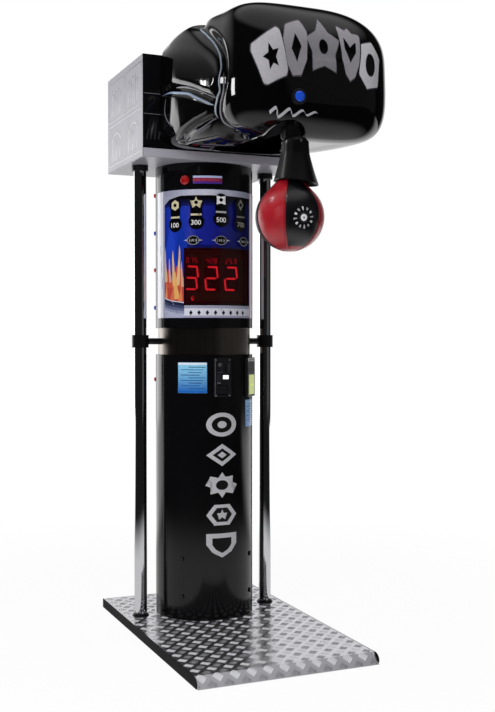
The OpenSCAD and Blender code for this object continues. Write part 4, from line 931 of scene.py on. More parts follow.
def onSection(s, inset, angle):
    x, a, mid, up, down, n = s
    n = cornerExponent(n, np.cos(angle), np.sin(angle))
    b = np.maximum(np.where(np.sin(angle) >= 0, up, down) - inset, 6)
    wide, high = np.abs(np.cos(angle)) / np.maximum(a - inset, 6), np.abs(np.sin(angle)) / b
    r = (wide ** n + high ** n) ** (-1 / n)
    z = mid + r * np.sin(angle)
    return x + r * np.cos(angle) * (1 - glove["taper"] * (z - mid) / (glove["height"] / 2)), z


def sidePoint(along, up, side):
    d = boxFront + along * glove["length"]
    x, a, mid, above, below, n = section(d)
    z = fistLow + up * glove["height"]
    u = min(abs(z - mid) / (above if z > mid else below), 0.999)
    wide = a * (1 - u ** n) ** (1 / n)
    return x + side * wide * (1 - glove["taper"] * (z - mid) / (glove["height"] / 2)), d, z


def smoothLine(points, steps=6):
    # a smooth curve that passes through every point
    p = np.array([points[0], *points, points[-1]], float)
    t = np.linspace(0, 1, steps, endpoint=False)[:, None]
    parts = [0.5 * (2 * p[i] + (p[i + 1] - p[i - 1]) * t
                    + (2 * p[i - 1] - 5 * p[i] + 4 * p[i + 1] - p[i + 2]) * t ** 2
                    + (3 * p[i] - p[i - 1] - 3 * p[i + 1] + p[i + 2]) * t ** 3) for i in range(1, len(p) - 2)]
    return np.vstack(parts + [p[-1:]])


mainCrease = [(0.642, 0.04), (0.650, 0.09), (0.652, 0.15), (0.672, 0.23), (0.712, 0.29), (0.752, 0.36),
              (0.764, 0.44), (0.754, 0.53), (0.728, 0.60), (0.658, 0.69), (0.542, 0.80), (0.370, 0.925)]
thumbTop = [(0.672, 0.275), (0.588, 0.325), (0.480, 0.39), (0.362, 0.445), (0.212, 0.492), (0.03, 0.51)]
thumbLow = [(0.640, 0.17), (0.556, 0.162), (0.436, 0.140), (0.33, 0.110), (0.24, 0.085)]
thumbEnd = [(0.03, 0.44), (0.012, 0.36), (0.02, 0.27), (0.10, 0.19), (0.20, 0.165)]


def creases():
    # the depth and the half width of each fold, and its line
    left = [sidePoint(*p, -1) for p in mainCrease]
    crownAt = boxFront + 0.33 * glove["length"]
    crown = (fistMid * 0.4, crownAt, section(crownAt)[2] + section(crownAt)[3])
    over = [left[-1], crown] + [sidePoint(*p, 1) for p in mainCrease[:1:-1]]
    return [(24, 26, smoothLine(left)), (24, 26, smoothLine(over)),
            (13, 13, smoothLine([sidePoint(*p, -1) for p in thumbTop])),
            (9, 13, smoothLine([sidePoint(*p, -1) for p in thumbLow])),
            (6, 10, smoothLine([sidePoint(*p, -1) for p in thumbEnd]))]


def creaseInset(points):
    inset = np.zeros(len(points))
    for deep, wide, line in creases():
        nearest = np.full(len(points), 1e9)
        for a, b in zip(line[:-1], line[1:]):
            ab = b - a
            t = np.clip((points - a) @ ab / max(ab @ ab, 1e-6), 0, 1)
            nearest = np.minimum(nearest, np.linalg.norm(points - a - t[:, None] * ab, axis=1))
        fold = deep * np.exp(-(nearest / wide) ** 2)
        groove = glove["grooveDepth"] * deep / 24 * np.exp(-(nearest / glove["grooveWidth"]) ** 2)
        inset = np.maximum(inset, fold + groove)
    return inset


def frontDepth(x, z):
    # distance ahead of the column's axis of the glove's front skin at x and level z over the floor
    level = z - boxLow

    def size(d):
        mx, a, mid, up, down, n = section(d)
        dz = level - mid
        dx = (x - mx) / (1 - glove["taper"] * dz / (glove["height"] / 2))
        far = hypot(dx, dz) + 1e-9
        n = cornerExponent(n, dx / far, dz / far)
        return ((abs(dx) / a) ** n + (abs(dz) / (up if dz > 0 else down)) ** n) ** (1 / n)

    edge = size(gloveFront)
    if edge < 1:
        return gloveFront + glove["frontBulge"] * (1 - edge ** 2) ** 2
    low, high = boxFront + 0.6 * glove["length"], gloveFront
    for _ in range(24):
        halfway = (low + high) / 2
        low, high = (halfway, high) if size(halfway) < 1 else (low, halfway)
    return low


def makeGlove():
    pivotY = -middle("arm_shaft", 1)
    ballR = (corners("ball")[1][0] - corners("ball")[0][0]) / 2
    opening = {"armLength": 371, "reach": 0.944, "room": 12, "slotHalf": 62, "slotAhead": 32,
               "slotBackHalf": 80}
    holeMid, holeR = pivotY - opening["reach"] * opening["armLength"], ballR + opening["room"]
    slotHalf, slotBackHalf = opening["slotHalf"], opening["slotBackHalf"]
    slotFront = pivotY + opening["slotAhead"]
    holeBack = holeMid - holeR

    def gapHalf(d):
        hole = np.sqrt(np.maximum(0, holeR ** 2 - (d - holeMid) ** 2))
        front = np.sqrt(np.maximum(0, slotHalf ** 2 - (d - slotFront + slotHalf) ** 2))
        run = slotHalf + (slotBackHalf - slotHalf) * np.clip((pivotY - 80 - d) / 140, 0, 1)
        slot = np.where(d > slotFront - slotHalf, front, np.where(d < holeMid, 0, run))
        inside = np.maximum(3, np.maximum(hole, slot))
        return np.where(d < holeBack, 3 + 0.8 * (holeBack - d),
                        np.where(d > slotFront, 3 + 0.8 * (d - slotFront), inside))

    detail = {"backRows": 22, "gapRows": 76, "noseRows": 34, "gapCols": 26, "cols": 272, "capRings": 12}
    t = np.linspace(0, 1, detail["gapRows"] + 1)
    d = np.concatenate([
        np.linspace(boxFront, holeBack, detail["backRows"], endpoint=False),
        holeBack + (slotFront - holeBack) * (1 - np.cos(pi * t)) / 2,
        slotFront + (gloveFront - slotFront) * np.sin(pi / 2 * np.linspace(0, 1, detail["noseRows"] + 1)[1:])])
    rows, cols, gapCols = len(d), detail["cols"], detail["gapCols"]
    s = [v[:, None] for v in section(d)]
    half = gapHalf(d)[:, None]

    def underAngle(x):
        u = np.clip(np.abs(x - s[0]) / s[1], 0, 0.97)
        z = s[4] * (1 - u ** s[5]) ** (1 / s[5])
        return np.arctan2(-z, np.clip(x - s[0], -0.97 * s[1], 0.97 * s[1]))

    left, right = underAngle(-half), underAngle(half)
    k = np.arange(cols)[None, :]
    angle = np.where(k <= gapCols, left + (right - left) * k / gapCols,
                     right + (left + 2 * pi - right) * (k - gapCols) / (cols - gapCols))
    ox, oz = onSection(s, 0, angle)
    dGrid = np.broadcast_to(d[:, None], ox.shape)
    inset = creaseInset(np.stack([ox, dGrid, oz], -1).reshape(-1, 3)).reshape(ox.shape)
    x, z = onSection(s, inset, angle)
    points = [np.stack([x, -dGrid, z + boxLow], -1).reshape(-1, 3)]
    edge = points[0][-cols:]
    centre = np.array([s[0][-1, 0], -gloveFront, s[2][-1, 0] + boxLow])
    for ring in range(1, detail["capRings"]):
        share = 1 - ring / detail["capRings"]
        spread = centre + (edge - centre) * share
        spread[:, 1] = -gloveFront - glove["frontBulge"] * (1 - share ** 2) ** 2
        points.append(spread)
    total = rows + detail["capRings"] - 1
    faces = []
    for i in range(total - 1):
        for j in range(cols):
            if detail["backRows"] <= i < detail["backRows"] + detail["gapRows"] and j < gapCols:
                continue
            n = (j + 1) % cols
            faces.append((i * cols + j, i * cols + n, (i + 1) * cols + n, (i + 1) * cols + j))
    points.append(centre[None] - [[0, glove["frontBulge"], 0]])
    tip = total * cols
    faces += [((total - 1) * cols + j, (total - 1) * cols + (j + 1) % cols, tip) for j in range(cols)]
    piece = meshPiece("gloveShell", np.vstack(points), faces, gelCoat)
    buttonZ = middle("button_bezel", 2)
    button, hole = Vector((0, -840, buttonZ)) * mm, 22.68 * mm  # the hole lies under the bezel's rim
    with editing(piece.data) as bm:
        near = [f for f in bm.faces if (f.calc_center_median() - button).length < hole
                and f.calc_center_median().y < -0.8]
        bmesh.ops.delete(bm, geom=near, context="FACES")
        bmesh.ops.delete(bm, geom=[v for v in bm.verts if not v.link_faces], context="VERTS")
        turnOutward(bm)
    thicken(piece, glove["wall"])
    mount(piece, "glove_black", "glove_shell")


def reach(outline, angle):
    # distance from the middle of an outline to its edge
    c, d = cos(angle), sin(angle)
    best = 0
    for (x0, z0), (x1, z1) in zip(outline, outline[1:] + outline[:1]):
        cross = c * (z1 - z0) - d * (x1 - x0)
        if abs(cross) < 1e-9:
            continue
        far = (x0 * (z1 - z0) - z0 * (x1 - x0)) / cross
        share = (c * z0 - d * x0) / -cross
        if far > 0 and -1e-6 <= share <= 1 + 1e-6:
            best = max(best, far)
    return best


def ring(outer, inner, warp, colour, scale=1.0, hole=1.0, count=60):
    # a flat shape with a hole, as a belt of small pieces
    angles = [2 * pi * i / count for i in range(count + 1)]
    out = [reach(outer, a) * scale for a in angles]
    into = [reach(inner, a) * hole for a in angles]
    spot = lambda r, a: warp(r * cos(a), r * sin(a))
    return [([spot(into[i], angles[i]), spot(out[i], angles[i]), spot(out[i + 1], angles[i + 1]),
              spot(into[i + 1], angles[i + 1])], colour) for i in range(count)]


def gloveOrnaments():
    # five bulky silver ornaments in an arch across the front, and a wave under the button
    arch = {"topLeft": (-160, 2032), "topMid": (66, 2138), "topRight": (314, 2062), "lowLeft": (-113, 1895),
            "lowMid": (92, 1944), "lowRight": (298, 1896)}

    def bend(a, b, c, t):
        (x0, z0), (x1, z1), (x2, z2) = arch[a], arch[b], arch[c]
        cx, cz = 2 * x1 - (x0 + x2) / 2, 2 * z1 - (z0 + z2) / 2
        return ((1 - t) ** 2 * x0 + 2 * t * (1 - t) * cx + t * t * x2,
                (1 - t) ** 2 * z0 + 2 * t * (1 - t) * cz + t * t * z2)

    def fatStar(points, inner, turn, wide=1.0, tall=1.0):
        return [(x * wide, z * tall) for x, z in star(0, 0, 1, points, inner, turn)]

    block = [(-1, -0.86), (-0.8, -1), (0.84, -0.9), (1, -0.7), (0.92, 0.84), (0.76, 1), (-0.86, 0.94),
             (-1, 0.7)]
    barrel = [(-1, -0.5), (-0.55, -0.96), (0.5, -1), (1, -0.5), (0.96, 0.5), (0.5, 1), (-0.6, 0.94),
              (-1, 0.44)]
    shield = [(-0.95, 0.95), (-0.92, -0.3), (-0.6, -0.8), (0, -1), (0.62, -0.8), (0.95, -0.3), (0.95, 0.95),
              (0.3, 0.84), (0, 1), (-0.3, 0.84)]
    hexagon = [(-1, 0.6), (-0.98, -0.6), (-0.1, -1), (0.98, -0.62), (1, 0.6), (0.08, 1)]
    kinds = [(block, fatStar(5, 0.48, 90, 0.5, 0.5), "#bcbabf", (0, 0.2, 0, 0.235)),
             (barrel, [(-0.4, 0), (0, -0.46), (0.4, 0), (0, 0.46)], "#98959b", (0.19, 0.335, 0.22, 0.455)),
             (fatStar(5, 0.64, 90, 1.1, 1.06), regular(0, 0, 0.24, 0.24, 20), "#8b898f",
              (0.32, 0.675, 0.43, 0.66)),
             (shield, [(-0.5, 0.5), (0, 0.2), (0.5, 0.5), (0.5, 0.1), (0, -0.3), (-0.5, 0.1)], "#a09da4",
              (0.66, 0.795, 0.655, 0.85)),
             (hexagon, regular(0, 0, 0.44, 0.4, 24), "#d6d5da", (0.785, 1.0, 0.845, 1.0))]
    flat, top = [], []
    for outer, inner, colour, (l0, l1, h0, h1) in kinds:
        def warp(x, z):
            v = 0.5 + z / 2
            a = bend("lowLeft", "lowMid", "lowRight", (l0 + l1) / 2 + x * (l1 - l0) / 2 * 0.98)
            b = bend("topLeft", "topMid", "topRight", (h0 + h1) / 2 + x * (h1 - h0) / 2 * 0.98)
            return a[0] + (b[0] - a[0]) * v, a[1] + (b[1] - a[1]) * v

        flat += ring(outer, inner, warp, "#47454b")
        top += ring(outer, inner, warp, colour, 0.95, 1.1)

    def onFront(u, lift, z):
        return (u, -frontDepth(u, z) - lift, z)

    mount(printPiece("ornamentEdges", flat, onFront, silverInk, step=12, lift=0.3, layer=0), "stainless")
    mount(printPiece("ornamentFaces", top, onFront, silverInk, step=12, lift=0.55, layer=0), "stainless")
    # a broad-nib wave that runs out to the right
    wave = []
    for i in range(120):
        ends = []
        for s in (i / 120, (i + 1) / 120):
            swing = (15 - 11 * s) * sin(2 * pi * 3.4 * s)
            ends.append((-86 + 158 * s + 0.4 * swing, 1822 + 5 * s + swing))
        (x0, z0), (x1, z1) = ends
        nib = (2.8, 4.6 - 2.4 * i / 120)
        wave.append(([(x0 - nib[0], z0 + nib[1]), (x0 + nib[0], z0 - nib[1]), (x1 + nib[0], z1 - nib[1]),
                      (x1 - nib[0], z1 + nib[1])], "#c2c0c6"))
    mount(printPiece("gloveSign", wave, onFront, silverInk, step=9, lift=0.35, layer=0), "stainless")


def piping():
    # rolled lips along the folds: raised beads laid on the skin, inked with painted highlights that are palest
    # along their crests
    lips = {"high": 2.4, "across": 7}
    skin = bpy.data.objects["gloveShell"].data
    points = [v.co.copy() for v in skin.vertices]
    tree = BVHTree.FromPolygons(points, [tuple(f.vertices) for f in skin.polygons])
    # width, painted highlight colours from the first to the last point, and the line as shares along and up
    # the glove
    rows = {
        "foldLip": (9, "#8f9ca6 #98a8b4 #8c9cac #7f8c9b #77838f #757d88 #8c939e #a4abb8 #a6adba #85878f",
                    [(0.345, 0.918), (0.415, 0.875), (0.483, 0.823), (0.573, 0.738), (0.645, 0.659),
                     (0.700, 0.580), (0.724, 0.502), (0.720, 0.434), (0.705, 0.350), (0.672, 0.302),
                     (0.642, 0.252), (0.626, 0.204), (0.621, 0.165)]),
        "fistLip": (8, "#3c3a40 #6a686e #8c8a90 #8f8d93 #8a888e #8c8a92 #84828a #716f76 #4c4b50",
                    [(0.739, 0.455), (0.739, 0.400), (0.722, 0.347), (0.695, 0.303), (0.670, 0.270),
                     (0.649, 0.223), (0.634, 0.175), (0.630, 0.137), (0.640, 0.105), (0.680, 0.075),
                     (0.74, 0.06)]),
        "thumbLip": (12, "#6d7f98 #93a6c4 #a9bddb #9fb2cf #8d9db6 #8691a2 #9aa2b0",
                     [(0.015, 0.493), (0.122, 0.477), (0.212, 0.457), (0.301, 0.430), (0.410, 0.394),
                      (0.485, 0.350), (0.577, 0.292), (0.636, 0.254)]),
        "thumbRim": (8, "#4e4c52 #66646a #74727a #6a686f #3a393e",
                     [(0.13, 0.435), (0.118, 0.395), (0.111, 0.357), (0.118, 0.32), (0.131, 0.294),
                      (0.176, 0.238), (0.238, 0.185)]),
        "palmLip": (8, "#7a7880 #716f77 #66646c #595760 #403f46",
                    [(0.186, 0.094), (0.301, 0.103), (0.480, 0.125), (0.594, 0.159), (0.618, 0.168)])}
    for name, (wide, colours, line) in rows.items():
        colours = colours.split()
        path = [Vector((-600, -boxFront - a * glove["length"], boxLow + fistLow + u * glove["height"])) * mm
                for a, u in smoothLine(line, 8)]
        path = [tree.ray_cast(spot, Vector((1, 0, 0)))[0] or spot for spot in path]
        count, cols = len(path), lips["across"] + 2
        verts, highlightInks = [], []
        for i, spot in enumerate(path):
            on, normal, _, _ = tree.find_nearest(spot)
            ahead = (path[min(i + 1, count - 1)] - path[max(i - 1, 0)]).normalized()
            side = ahead.cross(normal).normalized()
            end = sin(min(1, 8 * min(i, count - 1 - i) / count + 0.08) * pi / 2)
            half = wide / 2 * end * mm
            for k in range(lips["across"]):
                share = 2 * k / (lips["across"] - 1) - 1
                rise = lips["high"] * end * (1 - share ** 2)
                foot, turned, _, _ = tree.find_nearest(on + side * half * share)
                verts.append((foot + turned * (rise - 0.2) * mm) / mm)
            for share in (0.6, -0.6):
                foot, turned, _, _ = tree.find_nearest(on + side * half * share)
                verts.append((foot - turned * 1.2 * mm) / mm)
            at = i / (count - 1) * (len(colours) - 1)
            low = min(int(at), len(colours) - 2)
            highlightInks.append(blend(linear(colours[low]), linear(colours[low + 1]), at - low))
        ends = [tuple(range(cols)), tuple(range((count - 1) * cols, count * cols))[::-1]]
        piece = meshPiece(name, verts, gridFaces(count, cols) + ends, pipingHighlightInk)
        dark = linear("#060607")
        colour = np.zeros((len(piece.data.loops), 4), np.float32)
        for loop in piece.data.loops:
            row, col = divmod(loop.vertex_index, cols)
            # painted highlight: full on the bead's crest, fading to the dark gel coat at its sides
            lit = max(0, 1 - abs(2 * col / (lips["across"] - 1) - 1)) ** 0.7 if col < lips["across"] else 0
            colour[loop.index] = blend(dark, highlightInks[row], lit)
        inkCorners(piece, colour)
        with editing(piece.data) as bm:
            bmesh.ops.recalc_face_normals(bm, faces=bm.faces)
        mount(piece, "glove_black")


makeGlove()
piping()
gloveOrnaments()
dressNode("button_bezel", blackAbs, "bezel_black", round=1.6, segments=3)
print("glove made")


# Arm, boot and ball

def dressPlain():
    # nodes that keep the solids' own shape
    for material, names in (
            (treadMetal, "tread_plate"), (rubber, "rubber_feet stop_bumper"), (stainless, "band_sleeve"),
            (innerPaint, "base_frame column_foot door_frame arm_bracket latch_bracket"),
            (columnPaint, "lower_tube_front lower_tube_rear upper_tube rear_door header_cover"),
            (zincSteel, "panel_brackets cash_shelf rear_door_cam head_door_cam"),
            (boardGreen, "display_board main_board"), (digitFace, "led_digits"),
            (satinBlack, "speaker column_bolts arm"), (lampRed, "side_lamps_red"),
            (lampBlue, "side_lamps_blue"), (lens, "display_window"), (supplyCase, "power_supply cash_box"),
            (blackAbs, "mains_inlet return_flap"), (greyAbs, "coin_mech button_switch"),
            (chrome, "left_pole right_pole reject_button"), (domeBlue, "start_button"), (bronze, "bearings"),
            (groundSteel, "arm_shaft latch_hook solenoid_plunger"), (coilYellow, "solenoid"),
            (sensorBlue, "swing_sensor")):
        paintNode(material, *names.split())


def makeBall():
    ball = {"grooveDepth": 3.0, "grooveWidth": 2.6, "neckR": 32, "tangent": 45,
            "red": "#860d18", "black": "#08080b", "cap": 61}
    low, high = corners("ball")
    r = (high[0] - low[0]) / 2
    centre = np.array([0, middle("ball", 1), low[2] + r])
    neckHeight = r / cos(radians(ball["tangent"])) - ball["neckR"]
    profile = [(r * cos(a), r * sin(a)) for a in np.radians(np.linspace(-90, ball["tangent"], 110))]
    foot = profile[-1]
    profile += [(foot[0] + (ball["neckR"] - foot[0]) * t, foot[1] + (neckHeight - foot[1]) * t)
                for t in np.linspace(0, 1, 24)[1:]]
    profile += [(ball["neckR"], neckHeight + (high[2] - centre[2] - neckHeight) * t)
                for t in np.linspace(0, 1, 8)[1:]]
    profile += [(ball["neckR"] * t, high[2] - centre[2]) for t in (0.7, 0.45)]
    cols = 360
    angles = np.radians(np.arange(cols))
    seams = np.radians([-151, -95, -33, 33, 95, 151])
    turn = np.min([np.abs((angles - s + pi) % (2 * pi) - pi) for s in seams], 0)
    points = []
    for pr, pz in profile:
        away = turn * max(pr, 1)
        sink = ball["grooveDepth"] * np.exp(-(away / ball["grooveWidth"]) ** 2) * min(1, pr / 30)
        belly = 0.9 * np.cos(np.minimum(away / 40, 1) * pi / 2) if pr > 40 else 0
        radius = pr - sink - belly * 0.6
        points += [(radius[k] * sin(angles[k]), centre[1] - radius[k] * cos(angles[k]), centre[2] + pz)
                   for k in range(cols)]
    piece = meshPiece("strikeBall", points, gridFaces(len(profile), cols), ballLeather)
    colours = np.zeros((len(piece.data.loops), 4), np.float32)
    red, black = linear(ball["red"]), linear(ball["black"])
    for face in piece.data.polygons:
        column = min(face.vertices) % cols
        panel = int(np.searchsorted(np.degrees(seams), (column + 180.5) % 360 - 180))
        level = face.center.z / mm - centre[2]
        cap = level < -r * sin(radians(ball["cap"]))
        for corner in face.loop_indices:
            colours[corner] = black if (panel % 2 and not cap) or level > neckHeight - 2 else red
    inkCorners(piece, colours)
    with editing(piece.data) as bm:
        bmesh.ops.remove_doubles(bm, verts=bm.verts, dist=0.02 * mm)
        bmesh.ops.recalc_face_normals(bm, faces=bm.faces)
    mount(piece, "ball_leather", "ball", body="arm")

    # a row of stitches on each side of every seam
    def stitchShape():
        points = [(x, y, z) for x in (-2.6, 2.6) for y, z in ((-0.5, 0), (0.5, 0), (0.35, 0.6), (-0.35, 0.6))]
        points = [(x * (0.8 if z > 0 else 1), y, z) for x, y, z in points]
        faces = [(0, 1, 5, 4), (1, 2, 6, 5), (2, 3, 7, 6), (3, 0, 4, 7), (0, 3, 2, 1), (4, 5, 6, 7)]
        return meshPiece("stitchShape", points, faces, thread)

    places, turns = [], []
    for seam in seams:
        for side in (-1, 1):
            for lat in np.radians(np.arange(-80, ball["tangent"] + 1, 4.2)):
                across = side * 5.5 / max(r * cos(lat), 20)
                a = seam + across
                n = Vector((cos(lat) * sin(a), -cos(lat) * cos(a), sin(lat)))
                along = Vector((-sin(lat) * sin(a), sin(lat) * cos(a), cos(lat)))
                frameAxes = np.array([along, n.cross(along), n]).T
                places.append(Vector(centre) + n * (r - 0.35))
                turns.append(tuple(Matrix(frameAxes.tolist()).to_euler()))
    mount(repeat("ballStitches", stitchShape(), places, turns, thread), "ball_leather", body="arm")

    def onBall(u, lift, z):
        lat, lon = (z - 13) / r, (u - 4) / r
        reach = r + lift
        return (reach * cos(lat) * sin(lon), centre[1] - reach * cos(lat) * cos(lon),
                centre[2] + reach * sin(lat))

    # twelve short marks round a white dot
    mark = [(disc(0, 0, 11), "#dededf"), (disc(0, 0, 3.5), "#8a8a90")]
    for i in range(12):
        a = 30 * i + 8
        spread, near, far = (7, 25, 34) if i % 3 else (5, 23, 35)
        outer = [ray(far, a - spread), ray(far, a + spread), ray(near, a + spread * 0.6),
                 ray(near, a - spread)]
        mark.append((outer, "#c4c4c8" if i % 2 else "#96969c"))
        mark.append(([ray(16, a - 6), ray(16, a + 6), ray(13, a + 4)], "#6c6c72"))
    mount(printPiece("ballMark", mark, onBall, panelInk, step=6, lift=0.25, layer=0.03), "ball_leather",
          body="arm")


def makeBoot():
    # a leather skirt: gathered at its top, flaring to a hem that hangs unevenly and further out on one side
    low, high = corners("boot")
    middleY = middle("boot", 1)
    height = high[2] - low[2]
    boot = {"topR": 43, "hemR": 66, "wall": 3.6, "rim": 6, "ripple": 1.8, "drop": 15.0, "lean": (15, -7),
            "hang": (18, -8.5), "hemMore": 9}
    cols, rows = 180, 44
    angles = np.linspace(0, 2 * pi, cols, endpoint=False)
    points = []
    inner = 16.5
    for t in (0.0, 0.5, 1.0):
        r = inner + (boot["topR"] - boot["rim"] - inner) * t
        points += [(boot["lean"][0] * t + r * sin(a), middleY + boot["lean"][1] * t - r * cos(a), high[2])
                   for a in angles]
    for i in range(rows):
        t = i / (rows - 1)
        bevel = boot["rim"] * (1 - sin(min(1, t * 12) * pi / 2))
        flare = 0.12 * t * 3 if t < 1 / 3 else 0.12 + 0.88 * ((t - 1 / 3) * 1.5) ** 1.12
        r0 = boot["topR"] + (boot["hemR"] + boot["hemMore"] - boot["topR"]) * flare - bevel
        wave = boot["ripple"] * t ** 1.5 * np.sin(5 * angles + 0.8)
        fold = 1.1 * (1 - t) * np.sin(9 * angles) * sin(min(1, t * 4) * pi / 2)
        sag = boot["drop"] * t * (0.5 + 0.5 * np.cos(angles - 1.16))
        z = high[2] - bevel * 0.4 - (height - boot["drop"]) * t - sag
        r = r0 + wave + fold - boot["ripple"] * t ** 1.5
        cx = boot["lean"][0] + (boot["hang"][0] - boot["lean"][0]) * t
        cy = middleY + boot["lean"][1] + (boot["hang"][1] - boot["lean"][1]) * t
        points += [(cx + r[k] * sin(angles[k]), cy - r[k] * cos(angles[k]), z[k]) for k in range(cols)]
    piece = meshPiece("leatherBoot", points, gridFaces(rows + 3, cols), bootLeather)
    with editing(piece.data) as bm:
        turnOutward(bm)
    thicken(piece, boot["wall"])
    mount(piece, "boot_leather", "boot", body="arm")
    # the cuff that closes the boot round the arm, and rivets below it
    cuff = {"bore": 17, "reach": 18, "high": 41, "meanR": 34, "folds": 11, "foldDepth": 1.2, "shift": 6}
    profile = [(cuff["bore"], 0), (33, 0), (35, 4), (33, 12), (34, 20), (31, 29), (31, 35), (27, 40),
               (cuff["bore"], cuff["high"])]
    ring = lathe("bootCuff", profile, bootLeather, cols=72)
    for vert in ring.data.vertices:
        share = vert.co.z / mm / cuff["high"]
        near = max(0, hypot(vert.co.x, vert.co.y) / mm - cuff["bore"]) / cuff["reach"]
        fold = cuff["foldDepth"] * sin(cuff["folds"] * atan2(vert.co.x, vert.co.y)) * near
        stretch = 1 + fold / cuff["meanR"]
        vert.co = Vector((vert.co.x * stretch + cuff["shift"] * (1 - share) * near * mm,
                          vert.co.y * stretch + middleY * mm, vert.co.z + high[2] * mm))
    mount(ring, "boot_leather", body="arm")
    studs = lathe("studShape", [(5, -0.6), (5, 0.6), (4, 2.0), (0, 3.0)], groundSteel, cols=20)
    places, turns = [], []
    for a in (-62, 2, 66, 130, 194, 258):
        t = radians(a)
        r = boot["topR"] - 0.3
        places.append((boot["lean"][0] + r * sin(t), middleY + boot["lean"][1] - r * cos(t), high[2] - 14))
        turns.append((pi / 2, 0, t))
    mount(repeat("bootStuds", studs, places, turns, groundSteel), "shaft_steel", body="arm")


dressPlain()
makeBall()
makeBoot()
print("arm, boot and ball made")


# Studio: white surroundings, pale floor, a softbox ahead of the machine and a ceiling light

def makeWorld():
    # the camera sees white; mirrors see a dark studio with a white sweep behind and tall panels at its sides
    light = {"ambient": 0.42, "dark": 0.012, "sweep": 1.0, "lowLeft": 2.6, "highLeft": 0.5, "over": 0.6,
             "right": 0.08}
    world = bpy.data.worlds.new("studio")
    bpy.context.scene.world = world
    tree = emptyTree(world)
    way = addNode(tree, "ShaderNodeTexCoord").outputs["Generated"]
    upward = addNode(tree, "ShaderNodeSeparateXYZ", {0: way}).outputs["Z"]

    def along(x, y, low, high, top=1.0):
        # rises from low to high with the share of the direction that points to (x, y)
        share = addNode(tree, "ShaderNodeVectorMath", {0: way, 1: (x, y, 0)}, operation="DOT_PRODUCT")
        return addNode(tree, "ShaderNodeMapRange", {"Value": share.outputs["Value"], "From Min": low,
                                                    "From Max": high, "To Max": top},
                       interpolation_type="SMOOTHSTEP").outputs[0]

    def climb(low, high, top=1.0):
        # rises with the height of the direction, given in degrees over the horizon
        return addNode(tree, "ShaderNodeMapRange", {"Value": upward, "From Min": sin(radians(low)),
                                                    "From Max": sin(radians(high)), "To Max": top},
                       interpolation_type="SMOOTHSTEP").outputs[0]

    def toward(azimuth, width, soft, strength=1.0):
        # one sector of the studio: azimuth from the front of the machine toward its right side
        a, edge = radians(azimuth), cos(radians(width / 2))
        return along(sin(a), -cos(a), edge - soft, edge + soft, strength)

    back = along(viewWay[0], viewWay[1], 0.68, 0.86, light["sweep"])
    side = along(viewWay[1], -viewWay[0], -0.45, -0.3, 0.27)
    edge = addNode(tree, "ShaderNodeMath", {0: side, 1: 0.23}, operation="ADD").outputs[0]
    under = addNode(tree, "ShaderNodeMath", {0: edge, 1: upward}, operation="SUBTRACT").outputs[0]
    below = addNode(tree, "ShaderNodeMapRange", {"Value": under, "From Min": -0.01,
                                                 "From Max": 0.03}).outputs[0]
    # the sweep and the two panels on the left end at a height
    bounded = [(back, below), (toward(-157, 30, 0.006, light["lowLeft"]), climb(16.5, 15.0)),
               (toward(-150, 84, 0.12, light["highLeft"]), climb(14, 22))]
    parts = [addNode(tree, "ShaderNodeMath", {0: sector, 1: height}, operation="MULTIPLY").outputs[0]
             for sector, height in bounded]
    parts += [toward(46, 60, 0.05, light["right"]), climb(44, 60, light["over"])]
    mirror = light["dark"]
    for part in parts:
        mirror = addNode(tree, "ShaderNodeMath", {0: part, 1: mirror}, operation="MAXIMUM").outputs[0]
    path = addNode(tree, "ShaderNodeLightPath").outputs
    shiny = addNode(tree, "ShaderNodeMath", {0: path["Is Glossy Ray"], 1: path["Is Transmission Ray"]},
                    operation="MAXIMUM").outputs[0]
    seen = addNode(tree, "ShaderNodeMix", {0: shiny, 2: light["ambient"], 3: mirror}).outputs[0]
    total = addNode(tree, "ShaderNodeMix", {0: path["Is Camera Ray"], 2: seen, 3: 1.0}).outputs[0]
    sky = addNode(tree, "ShaderNodeBackground", {"Color": (1, 1, 1, 1), "Strength": total})
    addNode(tree, "ShaderNodeOutputWorld", {"Surface": sky.outputs[0]})


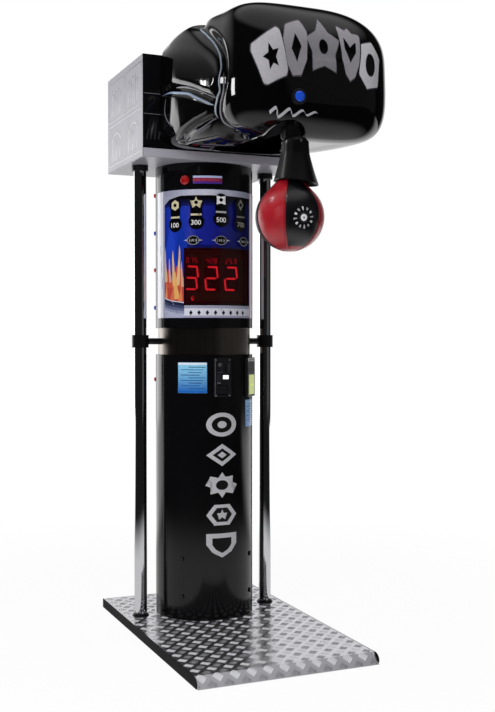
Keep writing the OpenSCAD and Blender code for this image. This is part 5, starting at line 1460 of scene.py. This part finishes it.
def makeFloor():
    # fades and reaches are metres from the column
    sheet = {"half": 9000, "fade": (1.1, 2.4), "shade": 0.95, "mirror": (1.3, 2.7), "mirrorNear": 0.72,
             "mirrorFar": 0.012, "back": (0.6, 1.8), "mirrorBack": 1.4}
    h = sheet["half"]
    material = bpy.data.materials.new("studioFloor")
    tree = emptyTree(material)
    coords = addNode(tree, "ShaderNodeTexCoord").outputs["Object"]
    matt = addNode(tree, "ShaderNodeBsdfDiffuse", {"Color": linear("#f4f4f5")}).outputs[0]
    away = addNode(tree, "ShaderNodeVectorMath", {0: coords}, operation="LENGTH").outputs["Value"]
    path = addNode(tree, "ShaderNodeLightPath").outputs
    fade = addNode(tree, "ShaderNodeMapRange", {
        "Value": away, "From Min": sheet["fade"][0], "From Max": sheet["fade"][1],
        "To Min": sheet["shade"]}).outputs[0]
    # mirrors see the sheet near the machine and behind it, and a dark studio floor ahead
    near = addNode(tree, "ShaderNodeMapRange", {
        "Value": away, "From Min": sheet["mirror"][0], "From Max": sheet["mirror"][1],
        "To Min": sheet["mirrorNear"], "To Max": sheet["mirrorFar"]},
                   interpolation_type="SMOOTHSTEP").outputs[0]
    rear = addNode(tree, "ShaderNodeVectorMath", {0: coords, 1: viewWay}, operation="DOT_PRODUCT")
    behind = addNode(tree, "ShaderNodeMapRange", {
        "Value": rear.outputs["Value"], "From Min": sheet["back"][0], "From Max": sheet["back"][1],
        "To Max": sheet["mirrorBack"]}).outputs[0]
    mirror = addNode(tree, "ShaderNodeMath", {0: near, 1: behind}, operation="MAXIMUM").outputs[0]
    shiny = path["Is Glossy Ray"]
    shown = addNode(tree, "ShaderNodeMath", {0: fade, 1: path["Is Camera Ray"]},
                    operation="MULTIPLY").outputs[0]
    share = addNode(tree, "ShaderNodeMath", {0: shown, 1: shiny}, operation="MAXIMUM").outputs[0]
    strength = addNode(tree, "ShaderNodeMix", {0: shiny, 2: 1.0, 3: mirror}).outputs[0]
    glow = addNode(tree, "ShaderNodeEmission", {"Color": (1, 1, 1, 1), "Strength": strength}).outputs[0]
    seen = addNode(tree, "ShaderNodeMixShader", {0: share, 1: matt, 2: glow}).outputs[0]
    addNode(tree, "ShaderNodeOutputMaterial", {"Surface": seen})
    piece = meshPiece("floor", [(-h, -h, 0), (h, -h, 0), (h, h, 0), (-h, h, 0)], [(0, 1, 2, 3)], material,
                      smooth=False)


def areaLamp(name, place, target, width, height, watts, mirrored=True, lights=True):
    data = bpy.data.lights.new(name, "AREA")
    data.shape = "RECTANGLE"
    data.size, data.size_y, data.energy = width * mm, height * mm, watts
    holder = addObject(name, data)
    holder.visible_glossy, holder.visible_diffuse = mirrored, lights
    holder.visible_camera = False
    holder.location = Vector(place) * mm
    holder.rotation_euler = (Vector(target) - Vector(place)).to_track_quat("-Z", "Y").to_euler()


makeWorld()
makeFloor()
areaLamp("keySoftbox", (-3300, -2600, 2500), (0, -400, 1300), 1300, 1900, 90, mirrored=False)
areaLamp("ceilingLight", (0, -900, 4200), (0, -400, 1000), 1800, 1400, 30, mirrored=False)
# two small reflectors beside the glove give its crisp highlights
areaLamp("fistGlint", (-428, -692, 1931), (-187, -754, 1907), 61, 119, 0.415, lights=False)
areaLamp("wristGlint", (-624, -137, 2104), (-224, -558, 1954), 13, 50, 0.053, lights=False)

bpy.context.scene.view_settings.view_transform = "Standard"
print("studio made")
